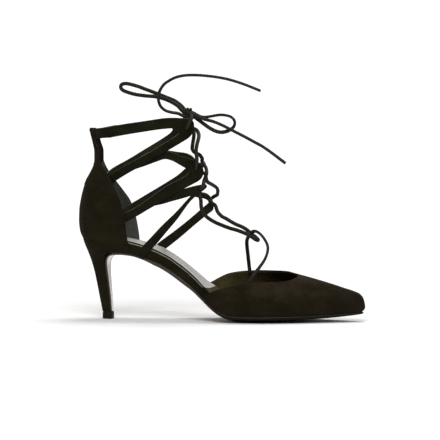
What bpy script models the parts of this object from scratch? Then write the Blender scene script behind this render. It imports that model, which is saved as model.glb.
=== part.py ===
"""Lace-up pump, right shoe: pointed vamp, heel cup, strap cage, slim heel and lace.

Lengths below are millimetres in the shoe's own frame: x from heel to toe, y to the
medial side, z up from the floor. place() moves them to the row frame in metres.
"""
import math

import bmesh
import bpy
import numpy as np

# Driving sizes, mm
FRAME_X = 123.5          # shoe x of the row origin
FRAME_Y = -0.5           # shoe y of the row origin
GAP = 0.3                # clearance between neighbouring pieces
VAMP_WALL = 1.6
COUNTER_WALL = 1.7
STRAP_THICK = 1.6
SOCK_THICK = 1.2
CORD_D = 2.0             # lace diameter
LACE_PITCH = 5.0         # spacing of the points along the lace
TIP_HEIGHT = 6.4         # heel top piece
BREAST_X = 29.0          # front of the heel's seat
SEAT_BACK = 69.0         # height of the heel seat at the back
SEAT_SLOPE = 0.13        # drop of the seat per mm towards the toe
THROAT_X = 191.0         # front of the vamp's throat
VAMP_LAT_X = 113.0       # rear corner of the vamp, lateral side
VAMP_MED_X = 106.0       # rear corner of the vamp, medial side
FEATHER_ANGLE = math.radians(20.0)   # how far the upper turns in at the sole
COLLAR_MID_X = 62.0      # widest point of the ankle

LOOKS = {                # colour, roughness, metallic
    "suede": ((0.016, 0.013, 0.009), 0.9, 0.0),
    "sole": ((0.42, 0.30, 0.24), 0.55, 0.0),
    "sock": ((0.62, 0.61, 0.58), 0.35, 0.0),
    "tip": ((0.012, 0.012, 0.012), 0.6, 0.0),
    "cord": ((0.020, 0.016, 0.012), 0.6, 0.0),
}


def table(columns, rows):
    """Named columns of a table as arrays."""
    data = np.array(rows, float)
    return {name: data[:, i] for i, name in enumerate(columns.split())}


# Outsole under the waist and forefoot: bottom centre, half widths, edge rise, edge thickness
OUTSOLE = table("x z lat med rise edge", (
    (31, 55.9, 17.0, 16.5, 0.8, 1.2),
    (37, 56.1, 20.0, 19.0, 1.0, 1.3),
    (47, 55.2, 21.5, 20.5, 1.1, 1.4),
    (57, 52.6, 22.0, 20.5, 1.2, 1.5),
    (71, 47.8, 22.5, 20.5, 1.3, 1.7),
    (85, 39.6, 23.5, 21.0, 1.5, 2.0),
    (99, 28.9, 25.5, 22.5, 1.8, 2.2),
    (110, 18.3, 28.0, 24.5, 2.1, 2.5),
    (116, 12.3, 30.0, 26.2, 2.4, 2.6),
    (121, 7.7, 31.6, 27.8, 2.8, 2.4),
    (127, 3.7, 33.4, 29.9, 3.2, 2.2),
    (134, 1.1, 34.9, 32.2, 3.5, 2.0),
    (142, 0.0, 36.2, 34.2, 3.7, 1.9),
    (152, 0.0, 36.6, 35.4, 3.5, 1.8),
    (163, 0.0, 36.2, 35.8, 3.5, 1.8),
    (174, 0.4, 34.2, 35.0, 3.4, 1.8),
    (185, 1.1, 30.8, 32.9, 2.9, 1.7),
    (197, 1.9, 25.8, 29.0, 2.4, 1.6),
    (209, 2.8, 20.3, 24.3, 2.0, 1.5),
    (221, 3.8, 14.8, 19.2, 1.6, 1.4),
    (232, 5.0, 9.4, 14.2, 1.2, 1.3),
    (239, 5.8, 5.9, 10.6, 0.9, 1.2),
    (243, 6.4, 3.3, 8.2, 0.7, 1.1),
    (245.4, 6.9, 0.9, 5.8, 0.4, 1.0),
))
# Leather down the heel breast: outer face, half width
FLAP = table("x z half", (
    (28.0, 6.9, 3.9),
    (27.2, 18.0, 4.6),
    (25.9, 32.0, 5.8),
    (24.8, 42.0, 7.5),
    (24.5, 48.0, 9.3),
    (25.2, 52.0, 11.4),
    (27.4, 54.9, 14.4),
))
FLAP_THICK = 1.0
# Top of the insole along the shoe
INSOLE = table("x z", (
    (3, 74.4), (29, 70.9), (47, 67.7), (59, 64.6), (68, 61.5), (80, 54.7), (93, 45.2), (106, 34.4),
    (118, 25.4), (130, 17.0), (142, 11.4), (154, 9.2), (170, 8.9), (190, 9.4), (215, 10.4), (242, 12.2),
))
# Insole board at the open waist
WAIST = table("x lat med", (
    (47, 25.0, 24.6), (60, 25.7, 25.0), (75, 25.6, 25.0), (90, 26.2, 25.2), (100, 27.6, 25.8), (113, 30.8, 27.8),
))
# Vamp outside: widest half widths and ridge height
VAMP = table("x lat med ridge", (
    (105, 30.5, 27.5, 78.0),
    (112, 32.0, 28.9, 74.0),
    (120, 34.2, 31.0, 69.0),
    (130, 36.6, 33.8, 63.5),
    (140, 38.4, 36.2, 58.5),
    (150, 39.3, 37.7, 54.0),
    (160, 39.1, 38.3, 49.8),
    (170, 37.6, 38.0, 46.0),
    (180, 34.8, 36.5, 42.8),
    (190, 31.0, 33.7, 40.1),
    (200, 26.4, 30.0, 37.5),
    (210, 21.4, 25.6, 34.7),
    (220, 16.4, 20.8, 31.8),
    (230, 11.2, 15.8, 28.5),
    (238, 7.2, 11.8, 25.6),
    (243, 4.6, 9.2, 22.8),
    (246, 2.2, 6.9, 19.8),
    (247.5, 0.2, 5.0, 17.4),
    (248.2, -1.9, 3.0, 15.2),
))
TOPLINE_LAT = table("x z", (
    (113, 24.0), (120, 26.0), (126, 28.4), (133, 30.4), (140, 32.3), (147, 33.6), (154, 34.5),
    (165, 35.3), (175, 36.0), (182, 36.9), (186, 37.7), (189, 38.8), (191, 39.9),
))
TOPLINE_MED = table("x z", (
    (106, 30.0), (110, 31.4), (116, 34.9), (126, 39.2), (140, 41.3), (155, 41.7), (170, 41.7),
    (176, 41.9), (182, 41.6), (186, 40.9), (191, 39.9),
))
# Counter outside: back line, front edges, half width at the front edge
COUNTER = table("z back lat med half", (
    (56, 6.0, 48.2, 47.4, 24.8),
    (65, 4.3, 47.4, 46.7, 26.6),
    (70, 2.3, 46.9, 46.2, 27.4),
    (76, -0.2, 46.1, 45.3, 28.0),
    (85, -1.2, 45.2, 43.6, 28.2),
    (95, -0.9, 43.0, 41.0, 27.3),
    (102, 0.1, 40.5, 38.5, 25.9),
    (111, 2.1, 36.0, 33.0, 22.2),
    (120, 5.2, 30.4, 27.2, 17.0),
    (127, 9.0, 25.6, 22.9, 12.8),
    (133, 11.7, 20.6, 19.7, 9.9),
    (138, 12.6, 18.0, 17.7, 8.8),
    (145, 12.6, 16.1, 16.1, 8.2),
    (152, 11.3, 14.1, 14.1, 8.0),
    (159, 9.5, 12.3, 12.3, 8.0),
    (164, 8.2, 11.0, 11.0, 8.0),
))
TAB_TOP = 164.0
# Back tab folded over the collar strap: how far in, at what height
TAB_FOLD = table("inward z", (
    (0.5, 165.4), (2.0, 166.3), (4.8, 166.3), (6.3, 165.4), (6.8, 164.0), (6.8, 158.0),
    (6.6, 153.5), (5.9, 149.8), (5.7, 146.0), (5.7, 142.0),
))
# Ankle that the straps lie on: back, front, half width, fullness of the back
ANKLE = table("z back front half full", (
    (60, 0.0, 160.0, 27.0, 0.50),
    (90, 3.0, 138.0, 29.0, 0.50),
    (105, 6.5, 131.0, 30.0, 0.55),
    (118, 10.5, 124.0, 30.0, 0.75),
    (126, 13.5, 121.0, 30.0, 0.85),
    (135, 15.0, 118.0, 30.0, 0.85),
    (150, 15.2, 114.0, 30.0, 0.68),
    (157, 13.5, 113.0, 30.0, 0.62),
    (165, 11.4, 112.0, 30.0, 0.60),
    (175, 9.0, 111.0, 30.0, 0.60),
))
# Straps: outer edge, inner edge, and how far each edge lies under the ankle surface
STRAP_COLUMNS = "ox oz ix iz osink isink"
COLLAR_LAT = table(STRAP_COLUMNS, (
    (102.8, 166.2, 89.9, 162.3, 0.0, 0.0),
    (102.4, 170.4, 87.9, 163.6, 0.0, 0.0),
    (96.0, 172.9, 85.0, 164.5, 0.0, 0.0),
    (83.8, 173.2, 77.0, 164.2, 0.0, 0.0),
    (64.5, 170.6, 64.5, 162.6, 0.0, 0.0),
    (44.1, 168.0, 45.0, 159.7, 0.0, 0.0),
    (29.0, 165.6, 30.8, 157.3, 0.0, 0.0),
))
COLLAR_MED = table(STRAP_COLUMNS, (
    (96.6, 165.6, 77.0, 162.6, 0.0, 0.0),
    (96.6, 169.6, 75.6, 163.4, 0.0, 0.0),
    (90.0, 172.0, 73.0, 163.9, 0.0, 0.0),
    (79.0, 172.2, 69.0, 163.6, 0.0, 0.0),
    (62.0, 170.2, 60.0, 162.0, 0.0, 0.0),
    (44.1, 168.0, 45.0, 159.7, 0.0, 0.0),
    (29.0, 165.6, 30.8, 157.3, 0.0, 0.0),
))
UPPER_LAT = table(STRAP_COLUMNS, (
    (103.0, 165.5, 90.1, 161.6, 0.0, 0.0),
    (100.9, 158.0, 89.4, 158.6, 0.0, 0.0),
    (90.8, 150.4, 82.6, 153.8, 0.0, 0.0),
    (82.0, 144.6, 74.7, 149.1, 0.0, 0.0),
    (67.4, 134.6, 61.4, 141.7, 0.0, 0.0),
    (54.2, 128.4, 47.4, 134.4, 0.8, 0.8),
    (37.2, 120.0, 30.2, 125.8, 8.2, 8.4),
    (29.0, 115.5, 24.6, 121.4, 9.8, 9.6),
))
UPPER_MED = table(STRAP_COLUMNS, (
    (96.4, 164.8, 77.2, 161.8, 0.0, 0.0),
    (90.5, 156.5, 74.5, 160.0, 0.0, 0.0),
    (74.5, 147.6, 64.8, 153.9, 0.0, 0.0),
    (55.1, 138.2, 49.1, 144.6, 0.0, 0.0),
    (42.5, 130.8, 36.5, 136.4, 1.6, 1.6),
    (31.0, 123.6, 25.6, 129.0, 6.2, 6.4),
    (25.0, 119.0, 21.0, 124.2, 8.6, 8.6),
))
MIDDLE_LAT = table(STRAP_COLUMNS, (
    (73.6, 147.2, 71.6, 140.4, 2.1, 2.1),
    (82.7, 145.8, 79.6, 138.4, 2.1, 2.1),
    (90.8, 144.6, 88.0, 135.8, 0.6, 0.6),
    (99.0, 143.4, 94.2, 132.4, 0.0, 0.0),
    (106.1, 139.1, 96.8, 130.7, 0.0, 0.0),
    (111.3, 129.9, 97.6, 129.3, 0.0, 0.0),
    (110.4, 122.3, 97.4, 127.4, 0.0, 0.0),
    (101.9, 116.6, 93.5, 122.4, 0.0, 0.0),
    (93.6, 112.2, 87.8, 118.4, 0.0, 0.0),
    (86.2, 105.9, 81.1, 113.7, 0.0, 0.0),
    (75.1, 98.8, 70.0, 106.2, 0.0, 0.0),
    (61.2, 91.8, 56.9, 98.4, 0.4, 0.4),
    (49.6, 86.4, 44.6, 93.6, 3.2, 3.4),
    (39.8, 82.2, 35.0, 89.2, 3.9, 4.2),
))
MIDDLE_MED = table(STRAP_COLUMNS, (
    (64.0, 147.4, 64.0, 140.4, 2.1, 2.1),
    (76.0, 145.4, 75.0, 137.6, 2.1, 2.1),
    (89.6, 141.5, 82.0, 132.0, 0.4, 0.4),
    (100.1, 137.2, 85.7, 130.2, 0.0, 0.0),
    (105.8, 128.5, 87.8, 128.9, 0.0, 0.0),
    (100.7, 119.8, 86.2, 126.9, 0.0, 0.0),
    (88.4, 112.8, 81.1, 122.0, 0.0, 0.0),
    (75.6, 106.2, 70.0, 115.0, 0.0, 0.0),
    (56.9, 97.2, 52.4, 105.6, 0.6, 0.6),
    (45.1, 90.6, 40.6, 98.8, 3.6, 4.0),
    (35.4, 85.2, 31.0, 93.0, 4.4, 4.9),
))
LOWER_LAT = table(STRAP_COLUMNS, (
    (84.0, 109.8, 77.6, 102.0, 2.1, 2.1),
    (94.0, 112.8, 88.2, 103.2, 2.1, 2.1),
    (102.5, 114.6, 96.4, 105.0, 0.6, 0.6),
    (109.9, 116.2, 100.8, 106.4, 0.0, 0.0),
    (114.8, 115.2, 102.4, 105.6, 0.0, 0.0),
    (111.2, 109.6, 101.2, 104.0, 1.6, 0.0),
    (101.7, 101.6, 97.6, 102.0, 3.6, 0.0),
    (96.6, 95.2, 92.4, 97.4, 3.0, 0.0),
    (89.6, 86.8, 84.8, 90.6, 1.4, 0.0),
    (80.2, 76.2, 75.6, 81.4, 0.3, 0.0),
    (72.6, 66.9, 67.6, 72.4, 0.0, 0.0),
    (67.2, 60.8, 62.3, 66.3, 0.0, 0.0),
    (63.0, 56.2, 57.8, 61.2, 0.0, 0.0),
))
LOWER_MED = table(STRAP_COLUMNS, (
    (77.0, 112.4, 74.0, 105.4, 2.1, 2.1),
    (91.5, 110.0, 88.8, 102.4, 2.1, 2.1),
    (109.0, 107.0, 103.1, 99.2, 0.0, 0.0),
    (115.7, 105.6, 106.9, 99.2, 0.0, 0.0),
    (119.4, 99.7, 107.4, 98.6, 0.0, 0.0),
    (115.4, 94.6, 106.2, 96.9, 0.0, 0.0),
    (107.2, 88.3, 99.5, 91.9, 0.0, 0.0),
    (94.7, 78.8, 88.3, 83.6, 0.0, 0.0),
    (81.0, 68.4, 75.0, 73.6, 0.0, 0.0),
    (68.6, 58.8, 63.0, 64.8, 0.0, 0.0),
    (64.6, 55.6, 59.2, 61.2, 0.0, 0.0),
))
# Heel block: height at the back and front of each ring, back, front, half width
HEEL = table("zb zf back front half", (
    (6.7, 6.7, 19.6, 26.7, 4.3),
    (15.0, 15.0, 18.0, 26.1, 4.8),
    (24.0, 24.0, 16.2, 25.3, 5.4),
    (33.0, 33.0, 14.3, 24.4, 6.3),
    (41.0, 41.0, 12.5, 23.6, 7.7),
    (48.0, 47.5, 10.4, 23.1, 9.7),
    (54.0, 52.0, 8.4, 23.5, 12.6),
    (59.0, 55.4, 6.6, 24.9, 16.4),
    (63.5, 58.6, 5.0, 27.6, 20.2),
    (66.6, 62.2, 3.8, 28.9, 23.0),
    (68.7, 65.2, 3.0, BREAST_X, 24.3),
))
HEEL_TIP_HALF = 4.6
HEEL_TIP_BACK = 19.3
HEEL_TIP_FRONT = 28.3

# Lace routes, shoe mm
VAMP_LOOP = (
    (144.1, 27.4, 39.1), (143.3, 27.2, 46.1), (142.8, 25.0, 54.0), (142.5, 21.5, 62.0), (143.1, 17.0, 67.6),
    (145.4, 11.8, 71.6), (148.4, 6.6, 74.8), (153.0, -0.5, 76.6), (158.3, -6.5, 74.7), (163.1, -11.0, 69.9),
    (166.2, -15.0, 64.7), (166.6, -19.0, 59.4), (164.9, -23.5, 53.4), (161.1, -27.3, 47.1),
    (157.0, -29.8, 41.4), (154.0, -31.0, 36.2), (152.7, -31.4, 32.8),
)
LACE_LOW = (
    (116.7, 17.0, 97.1), (118.0, 15.4, 92.4), (121.5, 14.6, 88.7), (125.3, 14.0, 86.8), (129.8, 13.4, 84.2),
    (134.7, 12.8, 81.7), (139.4, 13.0, 79.8), (143.8, 13.0, 77.2), (148.3, 12.4, 73.5), (152.4, 10.6, 70.6),
    (154.9, 7.2, 68.6), (152.9, 4.6, 69.2), (148.2, 5.0, 72.2), (144.0, 5.0, 74.3), (137.7, 3.0, 76.9),
    (131.4, -1.0, 79.7), (125.2, -5.5, 82.5), (118.8, -11.0, 85.8), (113.3, -15.6, 89.9),
    (110.3, -18.0, 94.4), (109.5, -19.2, 99.3), (109.3, -19.2, 103.6),
)
LACE_MID_A = (
    (102.2, 12.4, 132.4), (105.8, 7.0, 134.6), (109.2, 2.0, 133.5), (111.9, -3.0, 130.6),
    (113.1, -7.6, 126.4), (112.6, -10.6, 123.2), (112.0, -14.0, 120.5), (111.6, -16.4, 118.5),
)
LACE_MID_B = (
    (112.0, -13.0, 126.0), (112.6, -10.6, 123.2), (112.8, -6.0, 119.7), (115.7, 2.0, 117.3),
    (118.6, 8.0, 114.5), (119.2, 12.0, 111.5), (118.2, 14.6, 108.6),
)
LACE_HIGH_A = (
    (93.9, 15.0, 165.8), (98.0, 9.5, 164.6), (102.3, 4.0, 162.9), (104.9, -1.0, 159.6),
    (105.7, -6.0, 155.9), (105.4, -11.0, 151.7), (105.1, -14.8, 147.5), (105.0, -16.6, 144.7),
)
LACE_HIGH_B = (
    (101.1, -13.4, 162.3), (102.2, -11.0, 160.6), (101.5, -7.0, 156.3), (99.9, -3.0, 150.8),
    (98.9, 1.0, 146.5), (100.5, 4.0, 143.6), (103.4, 6.4, 141.9), (105.3, 9.0, 138.7), (104.7, 11.2, 136.5),
)
BOW_KNOT = (
    (96.3, -24.6, 163.5), (98.9, -24.4, 166.8), (101.4, -22.4, 171.8), (101.1, -17.4, 174.8),
    (97.9, -9.6, 178.2), (95.0, -4.0, 181.5), (93.1, -0.5, 179.5), (92.4, 5.0, 177.0), (91.9, 14.0, 175.7),
    (90.9, 22.0, 174.9),
)
BOW_BACK = (
    (92.5, -4.4, 180.8), (89.3, -1.4, 184.1), (85.7, 1.0, 186.7), (81.8, 2.6, 189.0), (74.5, 4.4, 191.6),
    (63.7, 6.4, 196.0), (56.2, 7.6, 198.9), (49.7, 8.6, 201.3), (43.4, 9.4, 203.1), (38.0, 10.0, 204.2),
    (34.0, 10.4, 203.5), (32.8, 10.4, 201.4), (34.1, 10.0, 198.8), (37.5, 9.2, 196.7), (46.5, 7.4, 194.1),
    (56.7, 5.4, 192.7), (64.1, 3.6, 192.1), (69.7, 2.0, 191.1), (75.3, 0.2, 189.4), (81.0, -2.0, 186.7),
    (86.4, -4.4, 183.4), (90.6, -6.6, 179.4),
)
BOW_FRONT = (
    (100.6, -5.6, 178.0), (104.0, -6.8, 176.2), (108.4, -8.4, 174.7), (113.7, -9.2, 174.7),
    (119.1, -10.2, 175.7), (124.5, -11.2, 176.4), (129.8, -12.2, 176.0), (134.3, -13.0, 174.2),
    (137.2, -13.6, 171.3), (137.6, -14.0, 167.9), (135.8, -14.0, 164.8), (131.8, -13.6, 162.4),
    (126.5, -13.0, 161.2), (121.2, -12.2, 162.1), (115.9, -11.4, 164.6), (110.5, -10.6, 168.2),
    (105.7, -10.0, 171.7), (102.2, -9.6, 174.1),
)
END_UPPER = (
    (92.6, -9.4, 175.1), (87.9, -10.6, 177.3), (82.1, -12.0, 178.3), (77.2, -13.4, 180.0),
    (73.5, -14.4, 183.5), (71.9, -15.0, 187.9), (72.0, -15.4, 192.3), (73.3, -15.6, 197.0),
    (76.8, -16.0, 202.2), (81.6, -16.2, 205.7), (86.8, -16.4, 208.2), (93.1, -16.6, 209.8),
    (99.5, -16.8, 210.3), (108.2, -17.0, 210.1), (118.2, -17.4, 209.1), (125.6, -17.6, 208.0),
    (132.5, -17.8, 206.5), (139.4, -18.0, 204.4), (146.9, -18.4, 201.6), (154.1, -18.8, 198.8),
    (160.6, -19.2, 196.2),
)
END_LOWER = (
    (102.0, -13.4, 176.2), (106.8, -14.2, 174.0), (113.1, -15.4, 172.0), (120.2, -16.6, 170.1),
    (127.4, -17.8, 167.2), (134.4, -18.8, 163.8), (141.4, -19.6, 160.3), (148.4, -20.4, 156.8),
    (155.4, -21.2, 153.1), (162.4, -22.0, 149.4), (169.4, -22.8, 144.8), (176.3, -23.6, 139.8),
    (182.7, -24.4, 135.1),
)


def smooth(xs, ys, x):
    """Monotone cubic through the rows (xs, ys), read at x."""
    xs = np.asarray(xs, float)
    ys = np.asarray(ys, float)
    step = np.diff(xs)
    slope = np.diff(ys) / step
    left = np.where(slope[:-1] == 0.0, 1.0, slope[:-1])
    right = np.where(slope[1:] == 0.0, 1.0, slope[1:])
    w1 = 2.0 * step[1:] + step[:-1]
    w2 = step[1:] + 2.0 * step[:-1]
    same = slope[:-1] * slope[1:] > 0.0
    blend = np.where(same, w1 / left + w2 / right, 1.0)
    inner = np.where(same, (w1 + w2) / blend, 0.0)
    tangent = np.concatenate(([slope[0]], inner, [slope[-1]]))
    x = np.clip(x, xs[0], xs[-1])
    i = np.clip(np.searchsorted(xs, x) - 1, 0, len(step) - 1)
    t = (x - xs[i]) / step[i]
    h = step[i]
    return ((1 + 2 * t) * (1 - t) ** 2 * ys[i] + t * (1 - t) ** 2 * h * tangent[i]
            + t * t * (3 - 2 * t) * ys[i + 1] + t * t * (t - 1) * h * tangent[i + 1])


def read(rows, key, column, at):
    """One column of a table, read at a value of its key column."""
    return smooth(rows[key], rows[column], at)


def outsole_top(x):
    """Height of the outsole's top face, under the upper."""
    return read(OUTSOLE, "x", "z", x) + read(OUTSOLE, "x", "rise", x) + read(OUTSOLE, "x", "edge", x)


def seat(x):
    """Height of the heel seat."""
    return SEAT_BACK - SEAT_SLOPE * (x - 3.0)


def place(points):
    """Shoe millimetres to row metres."""
    moved = np.asarray(points, float) - np.array((FRAME_X, FRAME_Y, 0.0))
    return moved * 0.001


def material(look):
    """The Principled material of a look, made once."""
    found = bpy.data.materials.get(look)
    if found:
        return found
    colour, rough, metal = LOOKS[look]
    made = bpy.data.materials.new(look)
    made.use_nodes = True
    shader = made.node_tree.nodes["Principled BSDF"]
    shader.inputs["Base Color"].default_value = (*colour, 1.0)
    shader.inputs["Roughness"].default_value = rough
    shader.inputs["Metallic"].default_value = metal
    return made


def solid(name, verts, faces, look):
    """One closed body with outward faces."""
    mesh = bpy.data.meshes.new(name)
    mesh.from_pydata([tuple(v) for v in place(verts)], [], [tuple(f) for f in faces])
    work = bmesh.new()
    work.from_mesh(mesh)
    bmesh.ops.recalc_face_normals(work, faces=work.faces)
    work.to_mesh(mesh)
    work.free()
    mesh.materials.append(material(look))
    made = bpy.data.objects.new(name, mesh)
    bpy.context.scene.collection.objects.link(made)
    return made


def thicken(outer, inner, faces):
    """Close a sheet into a wall: outer face, inner face and the rim between them."""
    count = len(outer)
    edges = {}
    for face in faces:
        for a, b in zip(face, face[1:] + face[:1]):
            edges.setdefault(frozenset((a, b)), []).append((a, b))
    rim = [pair[0] for pair in edges.values() if len(pair) == 1]
    sides = [(b, a, a + count, b + count) for a, b in rim]
    back = [tuple(i + count for i in reversed(face)) for face in faces]
    return np.vstack((outer, inner)), [tuple(f) for f in faces] + back + sides


def grid_faces(rows, columns):
    """Quads of a grid numbered row by row."""
    return [[r * columns + c, r * columns + c + 1, (r + 1) * columns + c + 1, (r + 1) * columns + c]
            for r in range(rows - 1) for c in range(columns - 1)]


def grid_normals(grid):
    """Unit normals of a point grid."""
    along = np.gradient(grid, axis=0)
    across = np.gradient(grid, axis=1)
    normal = np.cross(along, across)
    return normal / np.linalg.norm(normal, axis=2, keepdims=True)


def loft(rings):
    """Closed body through rings of equal count, with fans at both ends."""
    count = len(rings[0])
    verts = np.vstack(list(rings) + [rings[0].mean(axis=0), rings[-1].mean(axis=0)])
    faces = []
    for r in range(len(rings) - 1):
        for k in range(count):
            n = (k + 1) % count
            faces.append((r * count + k, r * count + n, (r + 1) * count + n, (r + 1) * count + k))
    first = len(rings) * count
    last = (len(rings) - 1) * count
    for k in range(count):
        n = (k + 1) % count
        faces.append((n, k, first))
        faces.append((last + k, last + n, first + 1))
    return verts, faces


def outsole():
    """Leather sole: up the breast, along the waist, convex under the forefoot."""
    across = np.array((-1.0, -0.82, -0.4, 0.4, 0.82, 1.0))
    lift = np.clip((np.abs(across) - 0.4) / 0.6, 0.0, 1.0) ** 1.8
    rings = []
    for x, z, half in zip(FLAP["x"], FLAP["z"], FLAP["half"]):
        turn = np.clip((z - 48.0) / 9.0, 0.0, 1.0) ** 1.2 * math.pi / 2
        inward = np.array((-math.cos(turn), 0.0, math.sin(turn))) * FLAP_THICK
        face = np.stack((np.full(6, x), across * half, np.full(6, z)), axis=1)
        rings.append(np.vstack((face, face[::-1] + inward)))
    for x in np.concatenate((OUTSOLE["x"][:2], np.arange(44.0, 114.0, 10.0), OUTSOLE["x"][8:])):
        lat, med = read(OUTSOLE, "x", "lat", x), read(OUTSOLE, "x", "med", x)
        y = np.where(across < 0.0, across * lat, across * med)
        low = read(OUTSOLE, "x", "z", x) + lift * read(OUTSOLE, "x", "rise", x)
        bottom = np.stack((np.full(6, x), y, low), axis=1)
        top = np.stack((np.full(6, x), y, np.full(6, outsole_top(x))), axis=1)
        rings.append(np.vstack((bottom, top[::-1])))
    return solid("outsole", *loft(rings), "sole")


def heel_ring(back, front, half, z_back, z_front):
    """D-shaped ring of the heel: round at the back, flat breast."""
    s = np.linspace(1.0, 0.0, 8) ** 2
    side = half * np.sqrt(1.0 - (1.0 - s) ** 2.2)
    x = back + (front - back) * s
    z = z_back + (z_front - z_back) * s
    near = np.stack((x, -side, z), axis=1)
    far = np.stack((x, side, z), axis=1)[::-1][1:]
    breast = np.array([(front, half * f, z_front) for f in (0.4, -0.4)])
    return np.vstack((near, far, breast))


def heel():
    """Covered heel block, flared under the seat."""
    rings = [heel_ring(*row) for row in zip(HEEL["back"], HEEL["front"], HEEL["half"], HEEL["zb"], HEEL["zf"])]
    return solid("heel", *loft(rings), "suede")


def heel_tip():
    """Top piece on the floor."""
    sizes = (HEEL_TIP_BACK, HEEL_TIP_FRONT, HEEL_TIP_HALF)
    rings = [heel_ring(*sizes, z, z) for z in (0.0, TIP_HEIGHT)]
    return solid("heel_tip", *loft(rings), "tip")


def counter_plan(z, f):
    """Counter's outer x and y at a height, f from -1 lateral through 0 back to 1 medial."""
    back = read(COUNTER, "z", "back", z)
    front = np.where(f < 0.0, read(COUNTER, "z", "lat", z), read(COUNTER, "z", "med", z))
    s = f * f
    flat = np.clip((z - 120.0) / 18.0, 0.0, 1.0)
    bulge = np.sqrt(1.0 - (1.0 - s) ** 2.2) * (1.0 - flat) + np.abs(f) * flat
    return back + (front - back) * s, np.sign(f) * read(COUNTER, "z", "half", z) * bulge


def counter_inside(x, z):
    """Half width inside the counter at x, for the pieces within it."""
    back = read(COUNTER, "z", "back", z)
    front = read(COUNTER, "z", "med", z)
    s = np.clip((np.array((x, x + 0.5)) - back) / (front - back), 0.0, 1.0)
    y = read(COUNTER, "z", "half", z) * np.sqrt(1.0 - (1.0 - s) ** 2.2)
    return max(y[0] - COUNTER_WALL * math.hypot(1.0, (y[1] - y[0]) / 0.5), 2.0)


def counter():
    """Heel cup with the back tab folded over the collar strap."""
    half = np.array((0.08, 0.16, 0.25, 0.35, 0.45, 0.55, 0.66, 0.764, 0.786, 0.86, 0.93, 1.0))
    f = np.concatenate((-half[::-1], (0.0,), half))
    levels = np.array((0.0, 0.05, 0.11, 0.18, 0.26, 0.34, 0.42, 0.5, 0.57, 0.63, 0.69, 0.75, 0.81, 0.88, 0.95, 1.0))
    x0, _ = counter_plan(np.full_like(f, 66.0), f)
    dip = np.clip((x0 - BREAST_X - 0.6) / 0.8, 0.0, 1.0)
    low = (seat(x0) + GAP) * (1.0 - dip) + (outsole_top(x0) + GAP) * dip
    rows = []
    for level in levels:
        z = low + (TAB_TOP - low) * level
        x, y = counter_plan(z, f)
        rows.append(np.stack((x, y, z), axis=1))
    x, y = counter_plan(np.full_like(f, TAB_TOP), f)
    for inward, z in zip(TAB_FOLD["inward"], TAB_FOLD["z"]):
        shift = read(COUNTER, "z", "back", z) - read(COUNTER, "z", "back", TAB_TOP) if z < TAB_TOP else 0.0
        rows.append(np.stack((x + inward + shift, y, np.full_like(f, z)), axis=1))
    grid = np.array(rows)
    normal = grid_normals(grid)
    if normal[3, len(half), 0] > 0.0:
        normal = -normal
    inner = grid - normal * COUNTER_WALL
    verts, faces = thicken(grid.reshape(-1, 3), inner.reshape(-1, 3), grid_faces(*grid.shape[:2]))
    return solid("counter", verts, faces, "suede")


def vamp_half(x, inset):
    """Middle and half width of the vamp at x."""
    lat, med = read(VAMP, "x", "lat", x), read(VAMP, "x", "med", x)
    return (med - lat) / 2.0, max((med + lat) / 2.0 - inset, 0.15)


def vamp_point(x, rise, side, inset):
    """Point of the vamp: rise 0 at the sole, 1 on the ridge; inset goes inside the wall."""
    middle, half = vamp_half(x, inset)
    floor = outsole_top(x) + GAP
    if x > 246.0:
        floor += (x - 246.0) * 0.9
    crown = max(read(VAMP, "x", "ridge", x) - inset, floor + 0.5)
    angle = -FEATHER_ANGLE + rise * (math.pi / 2 + FEATHER_ANGLE)
    wide = max(math.cos(angle), 0.0) ** 0.92
    high = (math.sin(angle) + math.sin(FEATHER_ANGLE)) / (1.0 + math.sin(FEATHER_ANGLE))
    at = x if inset == 0.0 or x < 200.0 else 200.0 + (x - 200.0) * (1.0 - inset * 1.35 / 48.2)
    return at, middle + side * half * wide, floor + (crown - floor) * high


def vamp_edge(x, line):
    """Rise of the topline at x."""
    floor = outsole_top(x) + GAP
    high = (read(line, "x", "z", x) - floor) / (read(VAMP, "x", "ridge", x) - floor)
    sine = high * (1.0 + math.sin(FEATHER_ANGLE)) - math.sin(FEATHER_ANGLE)
    return (math.asin(min(sine, 1.0)) + FEATHER_ANGLE) / (math.pi / 2 + FEATHER_ANGLE)


def vamp():
    """Pointed toe piece, hollow, open at the throat and underneath."""
    rows = 8
    toe = (194, 199, 206, 214, 222, 230, 237, 242, 245, 246.8, 247.7, 248.2)
    halves = (
        (-1, TOPLINE_LAT, (VAMP_LAT_X, 117, 121, 126, 132, 139, 147, 156, 165, 174, 181, 186, 189, THROAT_X)),
        (1, TOPLINE_MED, (VAMP_MED_X, 110, 115, 121, 128, 136, 145, 155, 165, 171, 176, 182, 187, THROAT_X)),
    )
    places = []
    index = {}
    faces = []
    for side, line, open_part in halves:
        stations = open_part + toe
        for i, x in enumerate(stations):
            top = 1.0 if x >= THROAT_X else vamp_edge(x, line)
            for k in range(rows + 1):
                key = ("ridge", x) if k == rows and x >= THROAT_X else (side, i, k)
                if key not in index:
                    index[key] = len(places)
                    places.append((x, top * k / rows, side))
                index[(side, i, k)] = index[key]
        for i in range(len(stations) - 1):
            for k in range(rows):
                face = [index[(side, i, k)], index[(side, i, k + 1)],
                        index[(side, i + 1, k + 1)], index[(side, i + 1, k)]]
                faces.append(face if side < 0 else face[::-1])
    end = len(halves[0][2]) + len(toe) - 1
    for k in range(rows):
        face = [index[(-1, end, k)], index[(-1, end, k + 1)], index[(1, end, k + 1)], index[(1, end, k)]]
        faces.append(list(dict.fromkeys(face)))
    outer = np.array([vamp_point(*p, 0.0) for p in places])
    inner = np.array([vamp_point(*p, VAMP_WALL) for p in places])
    return solid("vamp", *thicken(outer, inner, faces), "suede")


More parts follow.
